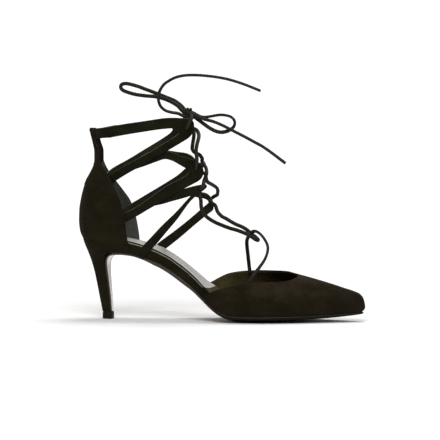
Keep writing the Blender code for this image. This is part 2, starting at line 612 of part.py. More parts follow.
def board_half(x, side):
    """Half width of the insole board on one side."""
    if x < 48.2:
        return counter_inside(min(x, 46.0), 57.5 if x > BREAST_X + 1.0 else 66.0) - 2 * GAP
    edge = VAMP_LAT_X if side < 0 else VAMP_MED_X
    if x < edge - 0.4:
        return read(WAIST, "x", "lat" if side < 0 else "med", x)
    inside = x if x < 200.0 else 200.0 + (x - 200.0) / (1.0 - VAMP_WALL * 1.35 / 48.2)
    middle, half = vamp_half(inside, VAMP_WALL)
    return half * math.cos(FEATHER_ANGLE) ** 0.92 - GAP + side * middle


def insole_board():
    """Stiff board: in the heel cup, wrapped along the waist, thin inside the vamp."""
    heel_part = (5.8, 7.0, 10, 15, 21, BREAST_X + 0.6)
    cup_part = (BREAST_X + 1.7, 36, 42, 48.0)
    waist_part = (48.7, 53, 60, 68, 76, 84, 92, 99, VAMP_MED_X - 0.6)
    vamp_part = (VAMP_MED_X + 0.2, 109.5, VAMP_LAT_X - 0.7, VAMP_LAT_X + 0.1, 118, 125, 133, 143, 155, 168, 181,
                 194, 207, 219, 230, 238, 241.5)
    rings = []
    for x in heel_part + cup_part + waist_part + vamp_part:
        low = (seat(x) if x <= heel_part[-1] else outsole_top(x)) + GAP
        top = max(read(INSOLE, "x", "z", x) - SOCK_THICK - GAP, low + 1.4)
        lat, med = board_half(x, -1), board_half(x, 1)
        soft = min(0.28 * (top - low), 2.0)
        rings.append(np.array((
            (x, -lat + soft, low), (x, -lat, low + soft), (x, -lat, top - soft), (x, -lat + soft, top),
            (x, med - soft, top), (x, med, top - soft), (x, med, low + soft), (x, med - soft, low))))
    return solid("insole_board", *loft(rings), "suede")


def insole_sock():
    """Pale leather sock lying on the board."""
    stations = (7.4, 9, 12, 17, 23, 30, 38, 47.6, 49.1, 54, 61, 68, 76, 84, 92, 99, VAMP_MED_X - 0.8,
                VAMP_MED_X + 0.4, 109.5, VAMP_LAT_X - 0.9, VAMP_LAT_X + 0.3, 118, 125, 133, 143, 155, 168, 181, 194,
                207, 219, 230, 238, 241)
    rings = []
    for x in stations:
        top = read(INSOLE, "x", "z", x)
        lat, med = board_half(x, -1) - 0.9, board_half(x, 1) - 0.9
        rings.append(np.array(((x, -lat, top - SOCK_THICK), (x, -lat + 0.5, top), (x, med - 0.5, top),
                               (x, med, top - SOCK_THICK))))
    return solid("insole_sock", *loft(rings), "sock")


def ankle(x, z):
    """Half width of the ankle under the straps."""
    half, full = read(ANKLE, "z", "half", z), read(ANKLE, "z", "full", z)
    if x < COLLAR_MID_X:
        back = read(ANKLE, "z", "back", z)
        s = min(max((COLLAR_MID_X - x) / (COLLAR_MID_X - back), 0.0), 1.0)
        return half * (1.0 - s ** 2.2) ** full
    s = min(max((x - COLLAR_MID_X) / (read(ANKLE, "z", "front", z) - COLLAR_MID_X), 0.0), 1.0)
    return half * (1.0 - s ** 2.4) ** 0.6


def strap_rows(rows, side, per_row):
    """Stations of a strap: three points across, smooth along."""
    at = np.arange(len(rows["ox"]), dtype=float)
    steps = np.linspace(0.0, at[-1], (len(at) - 1) * per_row + 1)
    value = {name: smooth(at, rows[name], steps) for name in rows}
    grid = []
    for i in range(len(steps)):
        line = []
        for mix in (0.0, 0.5, 1.0):
            x = value["ox"][i] * (1 - mix) + value["ix"][i] * mix
            z = value["oz"][i] * (1 - mix) + value["iz"][i] * mix
            sink = value["osink"][i] * (1 - mix) + value["isink"][i] * mix
            line.append((x, side * (ankle(x, z) - sink), z))
        grid.append(line)
    return np.array(grid)


def strap(name, grid):
    """Band of even thickness about its middle surface."""
    shift = grid_normals(grid) * (STRAP_THICK / 2)
    verts, faces = thicken((grid + shift).reshape(-1, 3), (grid - shift).reshape(-1, 3), grid_faces(*grid.shape[:2]))
    return solid(name, verts, faces, "suede")


def collar_strap():
    """Ankle band from the lateral lace point, through the back tab, to the medial one."""
    lateral = strap_rows(COLLAR_LAT, -1, 2)
    medial = strap_rows(COLLAR_MED, 1, 2)[::-1]
    arc = []
    for turn in np.linspace(-0.86, 0.86, 11):
        line = []
        for mix in (0.0, 0.5, 1.0):
            z = (163.4 + 2.2 * abs(turn)) * (1 - mix) + (155.0 + 2.3 * abs(turn)) * mix
            back = read(ANKLE, "z", "back", z)
            start = (29.0 + 1.8 * mix - back) * turn ** 2
            x = back + start
            line.append((x, math.copysign(ankle(x, z), turn) if abs(turn) > 1e-6 else 0.0, z))
        arc.append(line)
    return strap("collar_strap", np.concatenate((lateral, np.array(arc), medial)))


def lace_path(route, pitch):
    """Smooth curve through a lace route, a point about every pitch millimetres."""
    points = np.array(route, float)
    ends = np.vstack((2 * points[0] - points[1], points, 2 * points[-1] - points[-2]))
    path = [points[0]]
    for p0, p1, p2, p3 in zip(ends, ends[1:], ends[2:], ends[3:]):
        count = max(1, round(float(np.linalg.norm(p2 - p1)) / pitch))
        for t in np.arange(1, count + 1) / count:
            path.append(0.5 * (2 * p1 + (p2 - p0) * t + (2 * p0 - 5 * p1 + 4 * p2 - p3) * t * t
                               + (3 * p1 - p0 - 3 * p2 + p3) * t ** 3))
    return np.array(path)


def tube(route, sides=8):
    """Round bar along a smooth route, as mesh data."""
    path = lace_path(route, LACE_PITCH)
    along = np.gradient(path, axis=0)
    along /= np.linalg.norm(along, axis=1, keepdims=True)
    up = np.cross(along[0], (0.0, 1.0, 0.3))
    rings = []
    for p, t in zip(path, along):
        up = up - t * np.dot(up, t)
        up /= np.linalg.norm(up)
        side = np.cross(t, up)
        turn = np.linspace(0.0, 2 * math.pi, sides, endpoint=False)
        rings.append(p + (np.outer(np.cos(turn), up) + np.outer(np.sin(turn), side)) * CORD_D / 2)
    return loft(rings)


def lace_cross(name, first, second):
    """Two bars of the lace joined where they cross."""
    body = solid(name, *tube(first), "cord")
    other = solid(name + "_cutter", *tube(second), "cord")
    other.hide_render = True
    other.display_type = "WIRE"
    join = body.modifiers.new("join", "BOOLEAN")
    join.operation = "UNION"
    join.solver = "EXACT"
    join.object = other
    bpy.context.view_layer.update()
    shape = bpy.data.meshes.new_from_object(body.evaluated_get(bpy.context.evaluated_depsgraph_get()))
    body.modifiers.clear()
    body.data = shape
    bpy.data.objects.remove(other, do_unlink=True)
    return body


def cord(name, route):
    """Free cord as a round curve."""
    path = place(lace_path(route, LACE_PITCH))
    data = bpy.data.curves.new(name, "CURVE")
    data.dimensions = "3D"
    data.bevel_depth = CORD_D * 0.0005
    data.bevel_resolution = 2
    data.use_fill_caps = True
    line = data.splines.new("POLY")
    line.points.add(len(path) - 1)
    for point, p in zip(line.points, path):
        point.co = (*p, 1.0)
    data.materials.append(material("cord"))
    made = bpy.data.objects.new(name, data)
    bpy.context.scene.collection.objects.link(made)
    return made


def main():
    """Build every piece."""
    for old in list(bpy.data.objects):
        bpy.data.objects.remove(old, do_unlink=True)
    outsole()
    heel()
    heel_tip()
    insole_board()
    insole_sock()
    counter()
    vamp()
    collar_strap()
    for name, side, rows in (
            ("upper_strap_lateral", -1, UPPER_LAT), ("upper_strap_medial", 1, UPPER_MED),
            ("middle_strap_lateral", -1, MIDDLE_LAT), ("middle_strap_medial", 1, MIDDLE_MED),
            ("lower_strap_lateral", -1, LOWER_LAT), ("lower_strap_medial", 1, LOWER_MED)):
        strap(name, strap_rows(rows, side, 2))
    solid("vamp_loop", *tube(VAMP_LOOP), "cord")
    solid("lace_low", *tube(LACE_LOW), "cord")
    lace_cross("lace_mid", LACE_MID_A, LACE_MID_B)
    solid("lace_high_lateral", *tube(LACE_HIGH_A), "cord")
    solid("lace_high_medial", *tube(LACE_HIGH_B), "cord")
    cord("bow_knot", BOW_KNOT)
    cord("bow_loop_back", BOW_BACK)
    cord("bow_loop_front", BOW_FRONT)
    cord("lace_end_upper", END_UPPER)
    cord("lace_end_lower", END_LOWER)


main()
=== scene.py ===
"""Dressed model of a lace-up pump: suede upper, strap cage, slim heel, leather sole, tied lace.

Shapes are worked out in millimetres in the shoe's own frame: x from heel to toe, y to the medial
side, z up from the floor. place() moves them to the row frame in metres.
"""
import logging
import math
from dataclasses import dataclass, field
from enum import Enum

import bpy
import numpy as np
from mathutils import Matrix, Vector


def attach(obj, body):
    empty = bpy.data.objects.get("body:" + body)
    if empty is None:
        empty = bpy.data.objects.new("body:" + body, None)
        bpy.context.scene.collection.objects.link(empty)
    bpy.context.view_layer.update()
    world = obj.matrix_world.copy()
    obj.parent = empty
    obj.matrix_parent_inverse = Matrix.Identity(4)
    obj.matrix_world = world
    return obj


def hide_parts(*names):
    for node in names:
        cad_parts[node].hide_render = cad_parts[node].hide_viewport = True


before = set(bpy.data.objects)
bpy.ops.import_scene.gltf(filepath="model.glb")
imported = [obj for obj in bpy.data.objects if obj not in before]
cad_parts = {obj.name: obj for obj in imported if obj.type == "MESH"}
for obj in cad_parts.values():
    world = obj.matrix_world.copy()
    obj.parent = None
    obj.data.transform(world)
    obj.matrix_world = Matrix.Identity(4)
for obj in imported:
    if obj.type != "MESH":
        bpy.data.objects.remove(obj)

LOG = logging.getLogger("lace_up_pump")
Array = np.ndarray
Object = bpy.types.Object
Material = bpy.types.Material
Socket = bpy.types.NodeSocket
Faces = list[tuple[int, ...]]
Point = tuple[float, float, float]
Turns = tuple[tuple[float, float], ...]
Colour = tuple[float, float, float]

FRAME_ORIGIN = np.array((123.5, -0.5, 0.0))   # shoe point at the row origin
GAP = 0.3
BREAST_X = 29.0
THROAT_X = 191.0
VAMP_LAT_X = 113.0
VAMP_MED_X = 106.0
FEATHER_ANGLE = math.radians(20.0)
COLLAR_MID_X = 62.0
CUP_ROUND = 2.2             # how full the back of the heel cup and heel are
SIDE_ROUND = 0.92           # how full the vamp's sides are
TOE_X = 248.2               # tip of the vamp
TOE_START_X = 200.0         # from here to the tip the inside of the vamp is drawn back
TOE_DRAW = 1.35
SEAT_HIGH = 69.0            # the heel seat is highest at the back and falls to the front
SEAT_BACK_X = 3.0
SEAT_SLOPE = 0.13
SEAT_RISE = 0.45            # top of the heel cover and the waist band over the seat
UNDER_CUP = 0.12            # how far both stay inside the face of the heel cup
SEAM = 0.15
MM = 0.001                  # metres
PER_METRE = 1000.0          # millimetres
LACE_BROAD = 3.3            # flat braided lace
LACE_THIN = 2.4


def smooth(xs: Array, ys: Array, x: Array | float) -> Array:
    """Monotone cubic through rows, read at x.

    Args:
        xs: Rising key values.
        ys: Values at the keys.
        x: Where to read.
    Returns:
        The values at x, held at both ends.
    """
    step = np.diff(xs)
    slope = np.diff(ys) / step
    left = np.where(slope[:-1] == 0.0, 1.0, slope[:-1])
    right = np.where(slope[1:] == 0.0, 1.0, slope[1:])
    w1 = 2.0 * step[1:] + step[:-1]
    w2 = step[1:] + 2.0 * step[:-1]
    same = slope[:-1] * slope[1:] > 0.0
    blend = np.where(same, w1 / left + w2 / right, 1.0)
    inner = np.where(same, (w1 + w2) / blend, 0.0)
    tangent = np.concatenate(([slope[0]], inner, [slope[-1]]))
    x = np.clip(x, xs[0], xs[-1])
    i = np.clip(np.searchsorted(xs, x) - 1, 0, len(step) - 1)
    t = (x - xs[i]) / step[i]
    return ((1 + 2 * t) * (1 - t) ** 2 * ys[i] + t * (1 - t) ** 2 * step[i] * tangent[i]
            + t * t * (3 - 2 * t) * ys[i + 1] + t * t * (t - 1) * step[i] * tangent[i + 1])


class Table:
    """Short table with named columns, read by a smooth curve."""

    def __init__(self, columns: str, rows: tuple[tuple[float, ...], ...]) -> None:
        """Keep the rows by column name."""
        data = np.array(rows, float)
        self.columns: dict[str, Array] = {name: data[:, i] for i, name in enumerate(columns.split())}

    def __getitem__(self, name: str) -> Array:
        """One column."""
        return self.columns[name]

    def read(self, key: str, column: str, at: Array | float) -> Array:
        """A column read at a value of its key column."""
        return smooth(self[key], self[column], at)

    def joined(self, other: "Table") -> "Table":
        """This table's rows followed by another's.

        Args:
            other: Table with the same columns.
        Returns:
            One table.
        """
        made = Table.__new__(Table)
        made.columns = {name: np.concatenate((rows, other[name])) for name, rows in self.columns.items()}
        return made

    def part(self, rows: slice) -> "Table":
        """Some of the rows, or all of them turned round.

        Args:
            rows: Which rows to take.
        Returns:
            A table of those rows.
        """
        made = Table.__new__(Table)
        made.columns = {name: values[rows] for name, values in self.columns.items()}
        return made


OUTSOLE = Table("x z lat med rise edge", (
    (31, 55.9, 17.0, 16.5, 0.8, 1.2), (37, 56.1, 20.0, 19.0, 1.0, 1.3), (47, 55.2, 21.5, 20.5, 1.1, 1.4),
    (57, 52.6, 22.0, 20.5, 1.2, 1.5), (71, 47.8, 22.5, 20.5, 1.3, 1.7), (85, 39.6, 23.5, 21.0, 1.5, 2.0),
    (99, 28.9, 25.5, 22.5, 1.8, 2.2), (110, 18.3, 28.0, 24.5, 2.1, 2.5), (116, 12.3, 30.0, 26.2, 2.4, 2.6),
    (121, 7.7, 31.6, 27.8, 2.8, 2.4), (127, 3.7, 33.4, 29.9, 3.2, 2.2), (134, 1.1, 34.9, 32.2, 3.5, 2.0),
    (142, 0.0, 36.2, 34.2, 3.7, 1.9), (152, 0.0, 36.6, 35.4, 3.5, 1.8), (163, 0.0, 36.2, 35.8, 3.5, 1.8),
    (174, 0.4, 34.2, 35.0, 3.4, 1.8), (185, 1.1, 30.8, 32.9, 2.9, 1.7), (197, 1.9, 25.8, 29.0, 2.4, 1.6),
    (209, 2.8, 20.3, 24.3, 2.0, 1.5), (221, 3.8, 14.8, 19.2, 1.6, 1.4), (232, 5.0, 9.4, 14.2, 1.2, 1.3),
    (239, 5.8, 5.9, 10.6, 0.9, 1.2), (243, 6.4, 3.3, 8.2, 0.7, 1.1), (245.4, 6.9, 0.9, 5.8, 0.4, 1.0),
))
FLAP = Table("x z half", (
    (28.0, 6.9, 3.9), (27.2, 18.0, 4.6), (25.9, 32.0, 5.8), (24.8, 42.0, 7.5), (24.5, 48.0, 9.3),
    (25.2, 52.0, 11.4), (27.4, 54.9, 14.4),
))
INSOLE = Table("x z", (
    (3, 74.4), (29, 70.9), (47, 67.7), (59, 64.6), (68, 61.5), (80, 54.7), (93, 45.2), (106, 34.4),
    (118, 25.4), (130, 17.0), (142, 11.4), (154, 9.2), (170, 8.9), (190, 9.4), (215, 10.4), (242, 12.2),
))
WAIST = Table("x lat med", (
    (47, 25.0, 24.6), (60, 25.7, 25.0), (75, 25.6, 25.0), (90, 26.2, 25.2), (100, 27.6, 25.8),
    (113, 30.8, 27.8),
))
WAIST_FULL = Table("x drop", (
    (31, 0.6), (48, 0.5), (58, 0.9), (64, 1.8), (69, 2.6), (76, 2.7), (84, 2.8), (90, 3.0), (95, 2.7),
    (100, 1.9), (105, 1.1), (111, 0.5), (116, 0.0),
))
WAIST_LIP = Table("x lift", (
    (30, 0.0), (44, 0.6), (54, 0.8), (69, 0.8), (75, 1.4), (80, 2.1), (85, 2.5), (90, 2.8), (96, 3.3),
    (101, 3.6), (106, 3.5), (110, 2.9), (113, 2.2), (122, 0.0),
))
VAMP = Table("x lat med ridge", (
    (105, 30.5, 27.5, 78.0), (112, 32.0, 28.9, 74.0), (120, 34.2, 31.0, 69.0), (130, 36.6, 33.8, 63.5),
    (140, 38.4, 36.2, 58.5), (150, 39.3, 37.7, 54.0), (160, 39.1, 38.3, 49.8), (170, 37.6, 38.0, 46.0),
    (180, 34.8, 36.5, 42.8), (190, 31.0, 33.7, 40.1), (200, 26.4, 30.0, 37.5), (210, 21.4, 25.6, 34.7),
    (220, 16.4, 20.8, 31.8), (230, 11.2, 15.8, 28.6), (238, 7.2, 11.8, 26.1), (243, 4.6, 9.2, 23.9),
    (246, 2.2, 6.9, 21.4), (247.5, 0.2, 5.0, 19.0), (248.2, -1.9, 3.0, 16.4),
))
TOPLINE_LAT = Table("x z", (
    (113, 24.0), (120, 26.0), (126, 28.4), (133, 30.4), (140, 32.3), (147, 33.6), (154, 34.5),
    (165, 34.9), (175, 35.2), (182, 35.7), (186, 36.4), (189, 37.6), (191, 39.9),
))
TOPLINE_MED = Table("x z", (
    (106, 30.0), (110, 31.4), (116, 34.9), (126, 39.2), (140, 41.3), (155, 42.1), (170, 42.2),
    (176, 42.3), (182, 41.9), (186, 41.1), (191, 39.9),
))
COUNTER = Table("z back lat med half", (
    (56, 6.0, 48.2, 47.4, 24.8), (65, 4.3, 47.4, 46.7, 26.6), (70, 2.3, 46.9, 46.2, 27.4),
    (76, -0.2, 46.1, 45.3, 28.0), (85, -1.2, 45.2, 43.6, 28.2), (95, -0.9, 43.0, 41.0, 27.3),
    (102, 0.1, 40.5, 38.5, 25.9), (111, 2.1, 36.0, 33.0, 22.2), (120, 5.2, 30.4, 27.2, 17.0),
    (127, 9.0, 25.6, 22.9, 12.8), (133, 11.7, 20.6, 19.7, 9.9), (138, 12.6, 18.0, 17.7, 8.8),
    (145, 12.6, 16.1, 16.1, 8.2), (152, 11.3, 14.1, 14.1, 8.0), (159, 9.5, 12.3, 12.3, 8.0),
    (164, 8.2, 11.0, 11.0, 8.0),
))
TAB_FOLD = Table("step inward z", (
    (0, 0.0, 164.0), (1, 0.2, 164.8), (2, 0.8, 165.3), (3, 1.5, 164.8), (4, 2.1, 163.8), (5, 2.4, 161.5),
    (6, 2.5, 157.0), (7, 2.7, 152.5), (8, 3.3, 147.0), (9, 3.4, 139.0), (10, 3.4, 129.0),
))
ANKLE = Table("z back front half full", (
    (60, 0.0, 160.0, 27.0, 0.50), (90, 3.0, 138.0, 29.0, 0.50), (105, 6.5, 131.0, 30.0, 0.55),
    (118, 10.5, 124.0, 30.0, 0.75), (126, 13.5, 121.0, 30.0, 0.85), (135, 15.0, 118.0, 30.0, 0.85),
    (150, 15.2, 114.0, 30.0, 0.68), (157, 13.5, 113.0, 30.0, 0.62), (165, 11.4, 112.0, 30.0, 0.60),
    (175, 9.0, 111.0, 30.0, 0.60),
))
STRAP_COLUMNS = "ox oz ix iz osink isink"
COLLAR_LAT = Table(STRAP_COLUMNS, (
    (102.8, 166.2, 91.3, 162.9, 0.0, 0.0), (102.4, 170.4, 89.6, 164.2, 0.0, 0.0),
    (96.0, 173.1, 85.2, 164.4, 0.0, 0.0), (83.8, 173.6, 77.0, 163.7, 0.0, 0.0),
    (64.5, 171.0, 64.5, 161.9, 0.0, 0.0), (44.1, 168.2, 45.0, 158.9, 0.0, 0.0),
    (29.0, 165.7, 30.8, 156.5, 0.0, 0.0),
))
COLLAR_MED = Table(STRAP_COLUMNS, (
    (94.9, 166.2, 75.4, 163.9, 0.0, 0.0), (94.9, 169.6, 74.0, 165.0, 0.0, 0.0),
    (89.6, 172.3, 71.3, 165.9, 0.0, 0.0), (79.0, 173.4, 66.6, 165.9, 0.0, 0.0),
    (62.0, 172.4, 60.0, 165.0, 0.0, 0.0), (44.1, 170.0, 45.0, 162.7, 0.0, 0.0),
    (29.0, 167.7, 30.8, 160.3, 0.0, 0.0),
))
UPPER_LAT = Table(STRAP_COLUMNS, (
    (103.0, 165.5, 91.5, 162.0, 0.0, 0.0), (100.7, 158.0, 90.7, 159.9, 0.0, 0.0),
    (92.8, 152.0, 86.5, 156.6, 0.0, 0.0), (84.8, 147.0, 79.9, 152.3, 0.0, 0.0),
    (71.3, 139.2, 65.9, 143.8, 0.0, 0.0), (57.3, 131.3, 51.7, 136.4, 0.6, 0.6),
    (41.2, 123.3, 35.5, 128.4, 6.6, 6.6), (30.8, 117.8, 25.5, 122.9, 9.6, 9.4),
))
UPPER_MED = Table(STRAP_COLUMNS, (
    (94.9, 165.4, 75.4, 163.4, 0.0, 0.0), (88.1, 157.2, 74.1, 161.6, 0.0, 0.0),
    (72.3, 148.3, 65.1, 155.4, 0.0, 0.0), (54.5, 139.7, 49.3, 145.9, 0.0, 0.0),
    (42.1, 132.2, 37.3, 137.9, 1.6, 1.6), (31.0, 124.5, 26.7, 130.8, 6.2, 6.4),
    (25.0, 119.5, 21.9, 126.0, 8.6, 8.6),
))
MIDDLE_LAT = Table(STRAP_COLUMNS, (
    (54.6, 136.6, 51.8, 129.0, 2.1, 2.1), (66.3, 142.6, 63.7, 132.9, 2.1, 2.1),
    (75.7, 145.6, 73.2, 136.4, 2.1, 2.1), (83.0, 145.2, 79.9, 138.4, 1.4, 1.4),
    (90.1, 142.4, 86.2, 136.9, 0.5, 0.5), (97.4, 139.5, 92.8, 133.1, 0.0, 0.0),
    (104.9, 137.2, 97.5, 130.4, 0.0, 0.0), (110.0, 132.2, 99.2, 129.2, 0.0, 0.0),
    (111.1, 126.6, 99.5, 127.6, 0.0, 0.0), (109.2, 121.2, 98.3, 125.6, 0.0, 0.0),
    (101.2, 116.1, 94.1, 122.3, 0.0, 0.0), (93.9, 112.0, 87.6, 119.2, 0.0, 0.0),
    (85.2, 107.1, 80.1, 114.8, 0.0, 0.0), (75.7, 101.3, 71.6, 108.8, 0.0, 0.0),
    (66.2, 95.9, 62.0, 102.0, 0.2, 0.2), (57.2, 90.7, 52.9, 96.6, 1.4, 1.4),
    (47.9, 85.9, 43.8, 92.5, 3.3, 3.4), (39.8, 82.2, 35.0, 88.6, 3.9, 4.2),
))
MIDDLE_MED = Table(STRAP_COLUMNS, (
    (48.6, 140.9, 46.2, 136.9, 3.3, 3.3), (55.0, 144.3, 53.2, 139.7, 2.1, 2.1),
    (62.4, 146.1, 61.4, 141.1, 2.1, 2.1), (71.3, 145.6, 71.0, 140.0, 1.9, 1.9),
    (79.3, 144.4, 78.0, 137.5, 0.8, 0.8), (87.5, 143.4, 83.3, 135.0, 0.0, 0.0),
    (93.8, 140.5, 87.2, 133.5, 0.0, 0.0), (98.5, 134.4, 89.5, 132.8, 0.0, 0.0),
    (99.9, 128.0, 89.3, 131.9, 0.0, 0.0), (95.8, 121.0, 85.9, 129.0, 0.0, 0.0),
    (86.9, 115.3, 80.0, 124.1, 0.0, 0.0), (74.1, 109.1, 69.1, 117.3, 0.0, 0.0),
    (56.8, 99.5, 53.2, 107.8, 0.6, 0.6), (45.5, 92.9, 42.0, 100.8, 3.0, 3.4),
    (35.4, 86.8, 31.3, 94.2, 4.4, 4.9),
))
LOWER_LAT = Table(STRAP_COLUMNS, (
    (74.2, 105.4, 68.0, 98.2, 2.1, 2.1), (83.0, 108.6, 77.0, 100.0, 2.1, 2.1),
    (91.0, 111.5, 85.2, 102.4, 1.5, 1.5), (99.3, 114.3, 92.9, 104.5, 0.5, 0.5),
    (106.6, 116.2, 98.3, 106.1, 0.0, 0.0), (112.4, 117.2, 101.2, 107.1, 0.0, 0.0),
    (114.1, 115.1, 102.5, 107.5, 0.4, 0.0), (110.3, 111.5, 102.3, 107.1, 1.8, 0.0),
    (105.2, 107.5, 101.4, 106.3, 3.6, 0.0), (100.5, 103.0, 98.6, 103.2, 4.0, 0.0),
    (95.8, 96.0, 94.0, 98.2, 2.8, 0.0), (90.5, 87.7, 87.9, 92.0, 1.2, 0.0),
    (81.2, 76.5, 77.1, 81.8, 0.3, 0.0), (73.3, 67.1, 68.3, 72.5, 0.0, 0.0),
    (67.2, 60.8, 62.3, 66.3, 0.0, 0.0), (63.0, 56.2, 57.8, 61.2, 0.0, 0.0),
    (60.4, 53.0, 54.6, 57.4, 1.6, 0.6),
))
LOWER_MED = Table(STRAP_COLUMNS, (
    (63.8, 109.4, 61.6, 105.4, 2.1, 2.1), (71.4, 112.3, 69.6, 107.7, 2.1, 2.1),
    (80.0, 112.6, 78.9, 107.4, 2.1, 2.1), (91.6, 110.7, 88.6, 106.0, 2.0, 2.0),
    (100.9, 109.5, 97.1, 104.8, 0.6, 0.6), (106.2, 108.6, 103.2, 103.9, 0.0, 0.0),
    (110.5, 105.1, 107.5, 102.3, 0.0, 0.0), (113.0, 99.4, 108.8, 100.8, 0.0, 0.0),
    (112.8, 94.4, 107.3, 99.3, 0.0, 0.0), (106.5, 89.4, 100.9, 94.2, 0.0, 0.0),
    (94.7, 80.0, 88.5, 84.0, 0.0, 0.0), (81.0, 68.4, 75.0, 73.6, 0.0, 0.0),
    (68.6, 58.8, 63.0, 64.8, 0.0, 0.0), (64.6, 55.6, 59.2, 61.2, 0.0, 0.0),
))
HEEL = Table("zb zf back front half", (
    (6.7, 6.7, 19.2, 26.7, 4.3), (15.0, 15.0, 17.5, 26.1, 4.8), (24.0, 24.0, 15.7, 25.3, 5.4),
    (33.0, 33.0, 13.9, 24.4, 6.3), (41.0, 41.0, 12.2, 23.6, 7.7), (48.0, 47.5, 10.3, 23.1, 9.7),
    (54.0, 52.0, 8.5, 23.5, 12.6), (59.0, 55.4, 6.9, 24.9, 16.6), (63.5, 58.6, 5.3, 27.6, 21.2),
    (66.6, 62.2, 4.1, 28.9, 24.8), (69.1, 65.6, 3.0, BREAST_X, 26.8),
))
# Lace routes, shoe millimetres
VAMP_LOOP: tuple[Point, ...] = (
    (144.1, 27.4, 39.1), (143.3, 27.2, 46.1), (142.8, 25.0, 54.0), (142.5, 21.5, 62.0), (143.1, 17.0, 67.6),
    (145.4, 11.8, 71.6), (148.4, 6.6, 74.8), (153.0, -0.5, 76.6), (158.3, -6.5, 74.7), (163.1, -11.0, 69.9),
    (166.2, -15.0, 64.7), (166.6, -19.0, 59.4), (164.9, -23.5, 53.4), (161.1, -27.3, 47.1),
    (157.0, -29.8, 41.4), (154.0, -31.0, 36.2), (152.7, -31.4, 32.8),
)
LACE_LOW: tuple[Point, ...] = (
    (115.2, 17.4, 98.0), (117.7, 15.4, 92.6), (121.5, 14.6, 88.7), (125.3, 14.0, 86.8), (129.8, 13.4, 84.2),
    (134.7, 12.8, 81.7), (139.4, 13.0, 79.8), (143.8, 13.0, 77.2), (148.3, 12.4, 73.5), (152.4, 10.6, 70.6),
    (154.9, 7.2, 68.6), (152.9, 4.6, 69.2), (148.2, 5.0, 72.2), (144.0, 5.0, 74.3), (137.7, 3.0, 76.9),
    (131.4, -1.0, 79.0), (125.2, -5.5, 81.7), (118.8, -11.0, 85.1), (113.4, -15.6, 89.5),
    (110.3, -18.0, 94.4), (109.5, -19.2, 99.3), (109.3, -19.2, 103.6),
)
LACE_MID_A: tuple[Point, ...] = (
    (102.2, 12.4, 132.4), (105.4, 7.0, 134.1), (108.5, 2.0, 132.9), (111.0, -3.0, 130.1),
    (112.2, -7.6, 126.1), (111.8, -10.6, 123.0), (111.4, -14.0, 120.5), (111.3, -16.4, 118.5),
)
LACE_MID_B: tuple[Point, ...] = (
    (111.8, -13.0, 126.0), (112.2, -10.6, 122.9), (112.5, -6.0, 119.0), (115.3, 2.0, 116.3),
    (117.9, 8.0, 113.7), (118.4, 12.0, 111.2), (117.8, 14.6, 108.8),
)
LACE_HIGH_A: tuple[Point, ...] = (
    (93.9, 15.0, 165.8), (97.6, 9.5, 164.6), (101.6, 4.0, 162.9), (104.1, -1.0, 159.6),
    (104.9, -6.0, 155.9), (104.7, -11.0, 151.7), (104.6, -14.8, 147.5), (104.8, -16.6, 144.7),
)
LACE_HIGH_B: tuple[Point, ...] = (
    (101.1, -13.4, 162.3), (101.8, -11.0, 160.6), (100.8, -7.0, 156.3), (99.2, -3.0, 150.8),
    (98.2, 1.0, 146.5), (100.1, 4.0, 143.6), (103.4, 6.4, 141.9), (105.3, 9.0, 138.7), (104.7, 11.2, 136.5),
)
BOW_KNOT: tuple[Point, ...] = (
    (98.9, -24.4, 166.8), (101.4, -22.4, 171.8), (101.1, -17.4, 174.8),
    (98.2, -10.4, 177.0), (95.3, -5.0, 177.8), (93.0, -0.5, 177.6), (92.4, 5.0, 177.0), (91.9, 14.0, 175.7),
    (90.9, 22.0, 174.9),
)
BOW_BACK: tuple[Point, ...] = (
    (94.6, -4.8, 179.4), (92.5, -4.4, 180.8), (89.3, -1.8, 183.9), (85.7, 0.2, 186.4), (81.8, 1.8, 188.7),
    (74.5, 4.4, 191.5), (63.7, 6.4, 195.6), (56.2, 7.6, 198.3), (49.7, 8.6, 200.7), (43.4, 9.4, 202.5),
    (38.2, 10.0, 203.5), (34.5, 10.4, 202.9), (33.3, 10.4, 201.1), (34.1, 10.0, 198.8), (37.5, 9.2, 196.7),
    (46.5, 7.4, 194.1), (56.7, 5.4, 192.7), (64.1, 3.6, 192.1), (69.7, 2.0, 191.1), (75.3, 0.2, 189.4),
    (81.0, -2.0, 187.0), (86.4, -4.4, 183.9), (90.6, -6.6, 179.9), (93.8, -7.0, 177.4),
)
BOW_FRONT: tuple[Point, ...] = (
    (96.4, -4.0, 179.2), (100.6, -5.6, 178.0), (104.0, -6.8, 176.2), (108.4, -8.4, 174.4),
    (113.7, -9.2, 174.4), (119.1, -10.2, 175.3), (124.5, -11.2, 176.0), (129.8, -12.2, 175.6),
    (134.3, -13.0, 174.2), (137.2, -13.6, 171.3), (137.6, -14.0, 167.9), (135.8, -14.0, 164.8),
    (131.8, -13.6, 162.4), (126.5, -13.0, 161.2), (121.2, -12.2, 162.1), (115.9, -11.4, 164.6),
    (110.5, -10.6, 168.2), (105.7, -10.0, 171.7), (102.2, -9.6, 174.1), (98.0, -7.6, 176.0),
)
END_UPPER: tuple[Point, ...] = (
    (95.6, -7.2, 175.4), (92.6, -9.4, 175.1), (87.9, -10.6, 177.3), (82.1, -12.0, 178.3),
    (77.2, -13.4, 180.0), (73.5, -14.4, 183.5), (71.9, -15.0, 187.9), (72.0, -15.4, 192.3),
    (73.3, -15.6, 197.0), (76.8, -16.0, 202.0), (81.6, -16.2, 205.3), (86.8, -16.4, 207.8),
    (93.1, -16.6, 209.3), (99.5, -16.8, 209.8), (108.2, -17.0, 209.6), (118.2, -17.4, 208.6),
    (125.6, -17.6, 207.5), (132.5, -17.8, 206.1), (139.4, -18.0, 204.1), (146.9, -18.4, 201.6),
    (154.1, -18.8, 198.8), (160.6, -19.2, 196.2),
)
